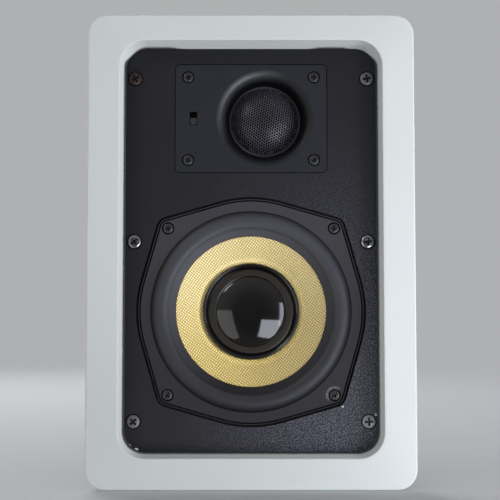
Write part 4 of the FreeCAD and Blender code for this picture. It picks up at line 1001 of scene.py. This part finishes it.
class SPEAKER_OT_dust_cap(Piece, bpy.types.Operator):
    """Make the glossy dust cap: rounded collar, valley and dome"""

    bl_idname = "speaker.dust_cap"
    bl_label = "Dust cap"

    # Steps between two knots of the collar's outline, and over the dome.
    knot_steps, dome_steps = 8, 28

    def execute(self, context):
        sizes = context.scene.speaker_sizes
        low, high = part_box("dust_cap")
        centre = middle("dust_cap")
        edge = (high[0] - low[0]) / 2
        crown, foot = low[1], high[1]
        collar = edge - sizes.collar_width
        dome = collar - sizes.valley_width
        seat = foot - sizes.cap_foot
        top = seat - sizes.collar_rise
        valley = top + sizes.valley_fall
        knots = [
            (edge, seat), (edge - 0.05 * MM, seat - 1.7 * MM), (edge - 0.4 * MM, seat - 2.9 * MM),
            (edge - 1.1 * MM, top), (edge - 2.0 * MM, top + 0.45 * MM),
            (collar + 0.7 * MM, valley + 0.15 * MM), (collar, valley + 0.6 * MM), (collar - 0.5 * MM, valley),
            (collar - 1.6 * MM, valley - 0.1 * MM), (dome + 0.7 * MM, valley - 0.02 * MM),
            (dome, valley + 0.3 * MM),
        ]
        front = smooth_line(knots, self.knot_steps)
        rise = valley - crown
        ball = (dome**2 + rise**2) / (2 * rise)
        for number in range(1, self.dome_steps + 1):
            radius = dome * (1 - number / self.dome_steps)
            front.append((radius, crown + ball - math.sqrt(ball**2 - radius**2)))
        within = [(radius, depth) for radius, depth in front if radius < edge - 1.4 * MM]
        back = [(radius, depth + sizes.cap_skin) for radius, depth in reversed(within)]
        profile = [(edge - 1.6 * MM, foot), *front, *back]
        material = self.gloss(context, centre, dome, collar)
        item = new_piece("dust_cap_gloss", [lathe(profile, centre, sizes.segments)], material, smooth=60)
        settle(item, "woofer_moving", "cap_gloss", "dust_cap")
        return {"FINISHED"}

    def gloss(self, context, centre, dome, collar):
        """Glossy black, dull in the valley, with a painted brownish reflection of the cone there."""
        colours = context.scene.speaker_colours
        finish = Finish("cap_gloss")
        x, _, z = finish.axes()
        radius = finish.radius(x, z, centre)
        film = finish.band(radius, dome / MM + 0.8, collar / MM - 0.7, 0.4)
        haze = finish.noise(0.12, 3)
        fine = finish.noise(0.8, 4)
        # Painted reflection: the valley is tinted brown by the cone's reflection.
        tone = finish.mix(film * (0.55 + 0.45 * haze), colours.cap, colours.cap_valley)
        return finish.surface(
            tone, 0.06 + 0.3 * film + 0.04 * haze, normal=finish.bump(fine, 0.002), specular=0.46,
        )


class SPEAKER_OT_spider(Piece, bpy.types.Operator):
    """Make the corrugated spider, which flexes between the voice coil and the basket"""

    bl_idname = "speaker.spider"
    bl_label = "Spider"

    # Waves of the cloth, and steps along it and round it.
    waves, steps = 4, 96

    def execute(self, context):
        sizes = context.scene.speaker_sizes
        low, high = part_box("spider")
        centre = middle("spider")
        outer = (high[0] - low[0]) / 2
        low_former, high_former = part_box("coil_former")
        inner = (high_former[0] - low_former[0]) / 2
        rest = (low[1] + high[1]) / 2
        span = outer - sizes.spider_rim - inner
        line = []
        for number in range(self.steps + 1):
            share = number / self.steps
            wave = sizes.wave_height * math.sin(TURN * self.waves * share)
            line.append((inner + span * share, rest - wave))
        line.append((outer, rest))
        half = sizes.spider_skin / 2
        profile = [(radius, depth - half) for radius, depth in line]
        profile += [(radius, depth + half) for radius, depth in reversed(line)]
        material = self.cloth(context.scene.speaker_colours)
        item = new_piece("spider_cloth", [lathe(profile, centre, self.steps)], material, smooth=60)
        flex(item, centre, inner + 0.5 * MM, outer - sizes.spider_rim, rest)
        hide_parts("spider")
        return {"FINISHED"}

    def cloth(self, colours):
        """Woven cloth, stiff with resin."""
        finish = Finish("spider_cloth")
        x, _, z = finish.axes()
        weave = finish.math("SINE", x * 9.0) * finish.math("SINE", z * 9.0) * 0.5 + 0.5
        drift = finish.noise(0.1, 3)
        return finish.surface(
            finish.shade(colours.cloth, 0.7 + 0.3 * weave + 0.2 * drift), 0.8,
            normal=finish.bump(weave, 0.06), specular=0.2,
        )


class SPEAKER_OT_motors(Piece, bpy.types.Operator):
    """Finish both motors: plates, magnets, yokes, coils and former"""

    bl_idname = "speaker.motors"
    bl_label = "Motors"

    # Thickness of the coils' wire in millimetres.
    coil_wire = 0.3

    def execute(self, context):
        colours = context.scene.speaker_colours
        for driver in ("woofer", "tweeter"):
            centre = middle(f"{driver}_magnet")
            steel = turned_metal(f"{driver}_plated_steel", colours.steel, centre)
            dress(steel, f"{driver}_top_plate", f"{driver}_yoke")
        ferrite = Finish("ferrite")
        pits = ferrite.noise(0.9, 4)
        cloud = ferrite.noise(0.06, 3)
        dress(ferrite.surface(
            ferrite.shade(colours.ferrite, 0.7 + 0.35 * pits + 0.25 * cloud), 0.62 - 0.14 * cloud,
            normal=ferrite.bump(pits, 0.06), specular=0.4,
        ), "woofer_magnet", "tweeter_magnet")
        dress(self.winding(colours), "voice_coil", "tweeter_coil")
        dress(plated("former_foil", colours.foil, colours.cloth, worn=0.66), "coil_former")
        dress(coated(
            "dome_silk", colours.silk, roughness=0.7, grain=3.0, depth=0.04, spread=0.5, specular=0.12,
        ), "tweeter_dome")
        return {"FINISHED"}

    def winding(self, colours):
        """Fine enamelled wire wound side by side."""
        finish = Finish("copper_wire")
        _, y, _ = finish.axes()
        turns = abs(finish.math("SINE", y * (math.pi / self.coil_wire)))
        return finish.surface(
            finish.shade(colours.copper, 0.45 + 0.6 * turns), 0.3, metallic=0.8, coat=0.4,
            normal=finish.bump(turns, 0.1),
        )


class SPEAKER_OT_tweeter_plate(Piece, bpy.types.Operator):
    """Finish the tweeter's plate and waveguide"""

    bl_idname = "speaker.tweeter_plate"
    bl_label = "Tweeter plate"

    # In millimetres: from the mesh to the edge of the waveguide's mouth, and depths between which painted
    # shade darkens its throat.
    mouth_width, throat = 8.6, (10.5, 15.5)
    # Millimetres from the mesh at which the painted shade in the mouth starts to fade.
    mouth_start = 4.0
    # Millimetres towards the upper left between which the mouth gets a painted highlight: lighter, with a
    # glossy coat.
    rub = (6, 32)

    def execute(self, context):
        colours = context.scene.speaker_colours
        finish = Finish("charcoal_plate")
        x, y, z = finish.axes()
        fine = finish.noise(1.8, 3)
        drift = finish.noise(0.05, 3)
        centre = middle("tweeter_mesh")
        low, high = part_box("tweeter_mesh")
        radius = finish.radius(x, z, centre)
        edge = (high[0] - low[0]) / 2 / MM
        mouth = 1 - finish.step(radius, edge + self.mouth_start, edge + self.mouth_width)
        inside = 1 - finish.step(radius, edge + self.mouth_width - 1, edge + self.mouth_width)
        deep = finish.step(y, *self.throat)
        lean = (centre[1] - centre[0]) / MM
        # Painted highlight on the upper left of the mouth.
        rubbed = finish.step(z - x - lean, *self.rub)
        # Painted shade deep in the throat and across the mouth, lighter at the painted highlight.
        amount = (0.86 + 0.14 * fine + 0.14 * drift) * (1 - 0.85 * deep)
        amount = amount * (1 - 0.82 * mouth * (1 - 0.5 * rubbed))
        dress(finish.surface(
            finish.shade(colours.plate, amount), 0.42 + 0.1 * drift, normal=finish.bump(fine, 0.02),
            specular=0.18, coat=0.9 * (1 - deep) * rubbed * inside, coat_roughness=0.42,
        ), "tweeter_plate")
        return {"FINISHED"}


class SPEAKER_OT_tweeter_mesh(Piece, bpy.types.Operator):
    """Make the tweeter's perforated dome with its rolled rim"""

    bl_idname = "speaker.tweeter_mesh"
    bl_label = "Tweeter mesh"

    # Corners of a round hole. Every second one faces a corner of its cell.
    sides = 12
    # The pattern's lean in degrees.
    lean = 23
    # Shares of the radius of the dome's foot: how far the sheet reaches, and how far the holes do.
    sheet_reach, hole_reach = 0.995, 0.97
    # Share of the pitch by which the outermost cells' middles stay inside the foot.
    margin = 0.3

    def execute(self, context):
        sizes = context.scene.speaker_sizes
        low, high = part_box("tweeter_mesh")
        centre = middle("tweeter_mesh")
        edge = (high[0] - low[0]) / 2
        crown, floor, sheet = low[1], high[1], sizes.mesh_sheet
        foot = edge - sizes.mesh_rim
        rise = floor - sheet - crown
        ball = (foot**2 + rise**2) / (2 * rise)
        lean = math.radians(self.lean)

        def on_dome(x, z):
            far = math.hypot(x, z)
            pull = min(1, foot * self.sheet_reach / far) if far else 1
            x, z = x * math.cos(lean) - z * math.sin(lean), x * math.sin(lean) + z * math.cos(lean)
            x, z = x * pull, z * pull
            depth = crown + ball - math.sqrt(ball**2 - x**2 - z**2)
            return centre[0] + x, depth, centre[1] + z

        shape = bmesh.new()
        for across, up in self.cells(sizes.mesh_pitch, foot - sizes.mesh_pitch * self.margin):
            open_cell = math.hypot(across, up) + sizes.mesh_hole < foot * self.hole_reach
            self.cell(shape, across, up, sizes.mesh_pitch, sizes.mesh_hole if open_cell else 0, on_dome)
        bmesh.ops.remove_doubles(shape, verts=shape.verts, dist=2e-6)
        bmesh.ops.recalc_face_normals(shape, faces=shape.faces)
        if sum(face.normal.y * face.calc_area() for face in shape.faces) > 0:
            bmesh.ops.reverse_faces(shape, faces=shape.faces)
        bmesh.ops.solidify(shape, geom=shape.faces[:], thickness=sheet)
        self.rim(shape, centre, edge, foot, floor, sheet, sizes.segments)
        material = self.coating(context.scene.speaker_colours)
        item = finish_piece("tweeter_mesh_sheet", shape, material, smooth=40)
        settle(item, "root", "mesh_black", "tweeter_mesh")
        return {"FINISHED"}

    def coating(self, colours):
        """Black coating, worn to bare metal in places."""
        finish = Finish("mesh_black")
        wear = finish.step(finish.noise(0.7, 4), 0.6, 0.74)
        fine = finish.noise(2.5, 2)
        return finish.surface(
            finish.mix(wear * 0.5, finish.shade(colours.mesh, 0.8 + 0.4 * fine), colours.bare),
            0.3 + 0.1 * fine, metallic=0.35 * wear, specular=0.5,
        )

    def cells(self, pitch, reach):
        """Centres of a honeycomb."""
        spacing = pitch * math.sqrt(0.75)
        rows = int(reach / spacing) + 2
        for row in range(-rows, rows + 1):
            up = row * spacing
            for column in range(-rows, rows + 1):
                across = (column + (row % 2) / 2) * pitch
                if math.hypot(across, up) < reach:
                    yield across, up

    def cell(self, shape, across, up, pitch, hole, on_dome):
        """One hexagon with a round hole, or a full one where hole is 0."""
        corner = pitch / math.sqrt(3)
        rim, ring = [], []
        for number in range(self.sides):
            angle = TURN * number / self.sides + math.pi / 6
            x, z = math.cos(angle), math.sin(angle)
            far = corner if number % 2 == 0 else pitch / 2
            rim.append(shape.verts.new(on_dome(across + far * x, up + far * z)))
            if hole:
                ring.append(shape.verts.new(on_dome(across + hole * x, up + hole * z)))
        if not hole:
            shape.faces.new(rim)
            return
        for number in range(self.sides):
            beside = (number + 1) % self.sides
            shape.faces.new((rim[number], rim[beside], ring[beside], ring[number]))

    def rim(self, shape, centre, edge, foot, floor, sheet, segments):
        """The rolled rim that the sheet ends in."""
        profile = [
            (edge, floor), (edge, floor - sheet * 0.6), (edge - 0.2 * MM, floor - sheet * 1.1),
            (edge - 0.6 * MM, floor - sheet * 1.3), (foot + 0.5 * MM, floor - sheet * 1.1),
            (foot, floor - sheet * 1.25), (foot - 0.5 * MM, floor - sheet * 1.7),
            (foot - 0.5 * MM, floor - sheet * 0.4), (foot, floor),
        ]
        points, faces = lathe(profile, centre, segments)
        corners = [shape.verts.new(point) for point in points]
        made = [shape.faces.new([corners[index] for index in face]) for face in faces]
        bmesh.ops.recalc_face_normals(shape, faces=made)


class SPEAKER_OT_screws(Piece, bpy.types.Operator):
    """Make the black screws of the drivers and the zinc screws of the board"""

    bl_idname = "speaker.screws"
    bl_label = "Screws"

    # The angle of the first screw of a group, and how far each screw is turned on from the one before it.
    first_turn, next_turn = 0.35, 1.1

    def execute(self, context):
        sizes = context.scene.speaker_sizes
        colours = context.scene.speaker_colours
        for node, shank in (("woofer_screws", sizes.woofer_shank), ("tweeter_screws", sizes.tweeter_shank)):
            low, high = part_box(node)
            black = plated(
                f"{node}_black", colours.black_screw, colours.bare, worn=0.66, roughness=0.34, metallic=0.3,
                head=low[1],
            )
            seat = low[1] + sizes.head_height
            self.group(node, sizes.driver_head, shank, (low[1], seat, high[1]), black, "screw_black")
        low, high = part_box("board_screws")
        zinc = plated("board_screws_zinc", colours.zinc, colours.rust, worn=0.66, roughness=0.3)
        depths = (high[1], high[1] - sizes.head_height, low[1])
        self.group("board_screws", sizes.board_head, sizes.board_shank, depths, zinc, "screw_zinc", 1)
        return {"FINISHED"}

    def group(self, node, head, shank, depths, material, slot, outward=-1):
        """Four like screws in one piece, each turned by its own angle. The depths are front, seat and tip."""
        parts = []
        for number, spot in enumerate(corners_of(node, head)):
            turn = self.first_turn + self.next_turn * number
            parts.append(screw(spot, head, shank, *depths, turn, outward=outward))
        settle(new_piece(f"{node}_cross", parts, material, smooth=40), "root", slot, node)


class SPEAKER_OT_clamps(Piece, bpy.types.Operator):
    """Make the threaded clamp screws and finish their nuts and dogs"""

    bl_idname = "speaker.clamps"
    bl_label = "Clamps"

    # The angle to which each screw was turned.
    turns = {
        "top_left": 0.5, "top_right": 0.2, "middle_left": 0.7, "middle_right": 0.1, "bottom_left": 0.72,
        "bottom_right": 0.05,
    }

    def execute(self, context):
        sizes = context.scene.speaker_sizes
        colours = context.scene.speaker_colours
        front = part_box("clamp_screw_top_left")[0][1]
        dull = plated(
            "clamp_zinc", colours.clamp_zinc, colours.rust, worn=0.7, roughness=0.42, metallic=0.5, head=front
        )
        bright = plated(
            "clamp_bright", colours.bright_zinc, colours.rust, worn=0.74, roughness=0.45, metallic=0.35,
            head=front,
        )
        shiny = plated(
            "clamp_shiny", colours.bright_zinc, colours.bare, worn=0.7, roughness=0.14, metallic=0.95,
            head=front,
        )
        rusty = plated(
            "clamp_rust", colours.worn_zinc, colours.rust, worn=0.5, roughness=0.5, metallic=0.4, head=front
        )
        finishes = {
            "top_left": rusty, "top_right": dull, "middle_left": shiny, "middle_right": shiny,
            "bottom_left": dull, "bottom_right": bright,
        }
        for name in CLAMPS:
            node = f"clamp_screw_{name}"
            low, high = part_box(node)
            head = (high[0] - low[0]) / 2
            seat = low[1] + sizes.clamp_head_height
            part = screw(
                middle(node), head, head / 2, low[1], seat, high[1], self.turns[name],
                thread=(sizes.thread_pitch, sizes.thread_depth),
            )
            item = new_piece(f"{node}_thread", [part], finishes[name], smooth=40)
            settle(item, f"screw_{name}", "screw_zinc", node)
        steel = plated("nut_steel", colours.zinc, colours.rust, worn=0.62)
        dress(steel, *[f"clamp_nut_{name}" for name in CLAMPS])
        plastic = coated("dog_plastic", colours.dog, grain=1.6, depth=0.04, spread=0.35)
        dress(plastic, *[f"clamp_dog_{name}" for name in CLAMPS])
        return {"FINISHED"}


class SPEAKER_OT_level_switch(Piece, bpy.types.Operator):
    """Finish the level switch"""

    bl_idname = "speaker.level_switch"
    bl_label = "Level switch"

    # Millimetres from one ridge of the slider to the next.
    ridge_pitch = 1.1

    def execute(self, context):
        colours = context.scene.speaker_colours
        dress(coated("switch_plastic", colours.switch), "switch_body")
        finish = Finish("slider_plastic")
        _, _, z = finish.axes()
        ridge = abs(finish.math("SINE", z * (math.pi / self.ridge_pitch)))
        fine = finish.noise(2.0, 2)
        dress(finish.surface(
            finish.shade(colours.slider, 0.6 + 0.4 * ridge + 0.2 * fine), 0.45,
            normal=finish.bump(ridge, 0.25),
        ), "switch_slider")
        return {"FINISHED"}


class SPEAKER_OT_crossover(Piece, bpy.types.Operator):
    """Finish the crossover board and its parts, and wind its inductors"""

    bl_idname = "speaker.crossover"
    bl_label = "Crossover"

    # A winding's inner radius as a share of its outer one, and its steps over one wire and round a turn.
    core, wire_steps, segments = 0.38, 6, 72
    # Millimetres of resin at each end of a capacitor.
    cap_end = 1.3

    def execute(self, context):
        colours = context.scene.speaker_colours
        dress(coated(
            "board_resin", colours.board, roughness=0.55, grain=0.8, depth=0.01, spread=0.35,
        ), "crossover_board")
        dress(coated(
            "bobbin_plastic", colours.bobbin, roughness=0.45, grain=1.0, depth=0.01, spread=0.12,
        ), "large_inductor_bobbin", "small_inductor_bobbin")
        dress(coated(
            "resistor_ceramic", colours.ceramic, roughness=0.75, grain=1.4, depth=0.05, spread=0.2,
        ), "resistor")
        for node in ("large_capacitor", "small_capacitor"):
            dress(self.film(colours, node), node)
        for size in ("large", "small"):
            self.wind(context, f"{size}_inductor_winding")
        return {"FINISHED"}

    def film(self, colours, node):
        """Yellow wrap with resin ends."""
        low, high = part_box(node)
        finish = Finish(f"{node}_film")
        x, _, _ = finish.axes()
        ends = 1 - finish.band(x, low[0] / MM + self.cap_end, high[0] / MM - self.cap_end, 0.3)
        drift = finish.noise(0.2, 3)
        tone = finish.mix(ends, finish.shade(colours.film, 0.85 + 0.25 * drift), colours.resin)
        return finish.surface(tone, 0.28 + 0.3 * ends, normal=finish.bump(drift, 0.06))

    def wind(self, context, node):
        """Turns of wire round a bobbin."""
        sizes = context.scene.speaker_sizes
        colours = context.scene.speaker_colours
        low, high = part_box(node)
        outer = (high[0] - low[0]) / 2
        inner = outer * self.core
        count = max(1, round((high[1] - low[1]) / sizes.wire))
        pitch = (high[1] - low[1]) / count
        profile = [(inner, low[1])]
        for number in range(count):
            for step in range(self.wire_steps + 1):
                angle = math.pi * step / self.wire_steps
                depth = low[1] + pitch * (number + 0.5 - 0.5 * math.cos(angle))
                profile.append((outer - pitch / 2 + pitch / 2 * math.sin(angle), depth))
        profile.append((inner, high[1]))
        finish = Finish(f"{node}_copper")
        hue = finish.noise(0.4, 3)
        material = finish.surface(
            finish.shade(colours.copper, 0.75 + 0.45 * hue), 0.26 + 0.12 * hue, metallic=0.75, coat=0.5,
        )
        item = new_piece(f"{node}_turns", [lathe(profile, middle(node), self.segments)], material, smooth=50)
        settle(item, "root", "copper_wire", node)


class SPEAKER_OT_terminals(Piece, bpy.types.Operator):
    """Finish the speaker terminals"""

    bl_idname = "speaker.terminals"
    bl_label = "Terminals"

    def execute(self, context):
        colours = context.scene.speaker_colours
        dress(coated(
            "terminal_plastic", colours.housing, roughness=0.45, grain=1.6, depth=0.03, spread=0.3,
        ), "terminal_housing")
        for name, tone, spread in (("red", colours.red, 0.15), ("black", colours.black, 0.3)):
            dress(coated(
                f"button_{name}", tone, roughness=0.3, grain=1.2, depth=0.01, spread=spread, specular=0.5,
            ), f"terminal_button_{name}")
        return {"FINISHED"}


OPERATORS = (
    SPEAKER_OT_stage, SPEAKER_OT_bezel, SPEAKER_OT_baffle, SPEAKER_OT_woofer_frame, SPEAKER_OT_surround,
    SPEAKER_OT_cone, SPEAKER_OT_dust_cap, SPEAKER_OT_spider, SPEAKER_OT_motors, SPEAKER_OT_tweeter_plate,
    SPEAKER_OT_tweeter_mesh, SPEAKER_OT_screws, SPEAKER_OT_clamps, SPEAKER_OT_level_switch,
    SPEAKER_OT_crossover, SPEAKER_OT_terminals,
)


class SPEAKER_PT_panel(bpy.types.Panel):
    """The speaker's pieces and settings"""

    bl_label = "Speaker"
    bl_idname = "SPEAKER_PT_panel"
    bl_space_type = "VIEW_3D"
    bl_region_type = "UI"
    bl_category = "Speaker"

    def draw(self, context):
        layout = self.layout
        for kind in OPERATORS:
            layout.operator(kind.bl_idname)
        scene = context.scene
        for group in (scene.speaker_sizes, scene.speaker_colours, scene.speaker_stage):
            box = layout.box()
            for key in group.__annotations__:
                box.prop(group, key)


CLASSES = (SpeakerSizes, SpeakerColours, SpeakerStage, *OPERATORS, SPEAKER_PT_panel)


def register():
    """Make the operators, the panel and the settings known."""
    for kind in CLASSES:
        bpy.utils.register_class(kind)
    bpy.types.Scene.speaker_sizes = PointerProperty(type=SpeakerSizes)
    bpy.types.Scene.speaker_colours = PointerProperty(type=SpeakerColours)
    bpy.types.Scene.speaker_stage = PointerProperty(type=SpeakerStage)


def unregister():
    """Take them away again."""
    del bpy.types.Scene.speaker_stage
    del bpy.types.Scene.speaker_colours
    del bpy.types.Scene.speaker_sizes
    for kind in reversed(CLASSES):
        bpy.utils.unregister_class(kind)


def main():
    """Build the looks."""
    register()
    bpy.ops.speaker.stage()
    bpy.ops.speaker.bezel()
    bpy.ops.speaker.baffle()
    bpy.ops.speaker.woofer_frame()
    bpy.ops.speaker.surround()
    bpy.ops.speaker.cone()
    bpy.ops.speaker.dust_cap()
    bpy.ops.speaker.spider()
    bpy.ops.speaker.motors()
    bpy.ops.speaker.tweeter_plate()
    bpy.ops.speaker.tweeter_mesh()
    bpy.ops.speaker.screws()
    bpy.ops.speaker.clamps()
    bpy.ops.speaker.level_switch()
    bpy.ops.speaker.crossover()
    bpy.ops.speaker.terminals()


if __name__ == "__main__":
    main()
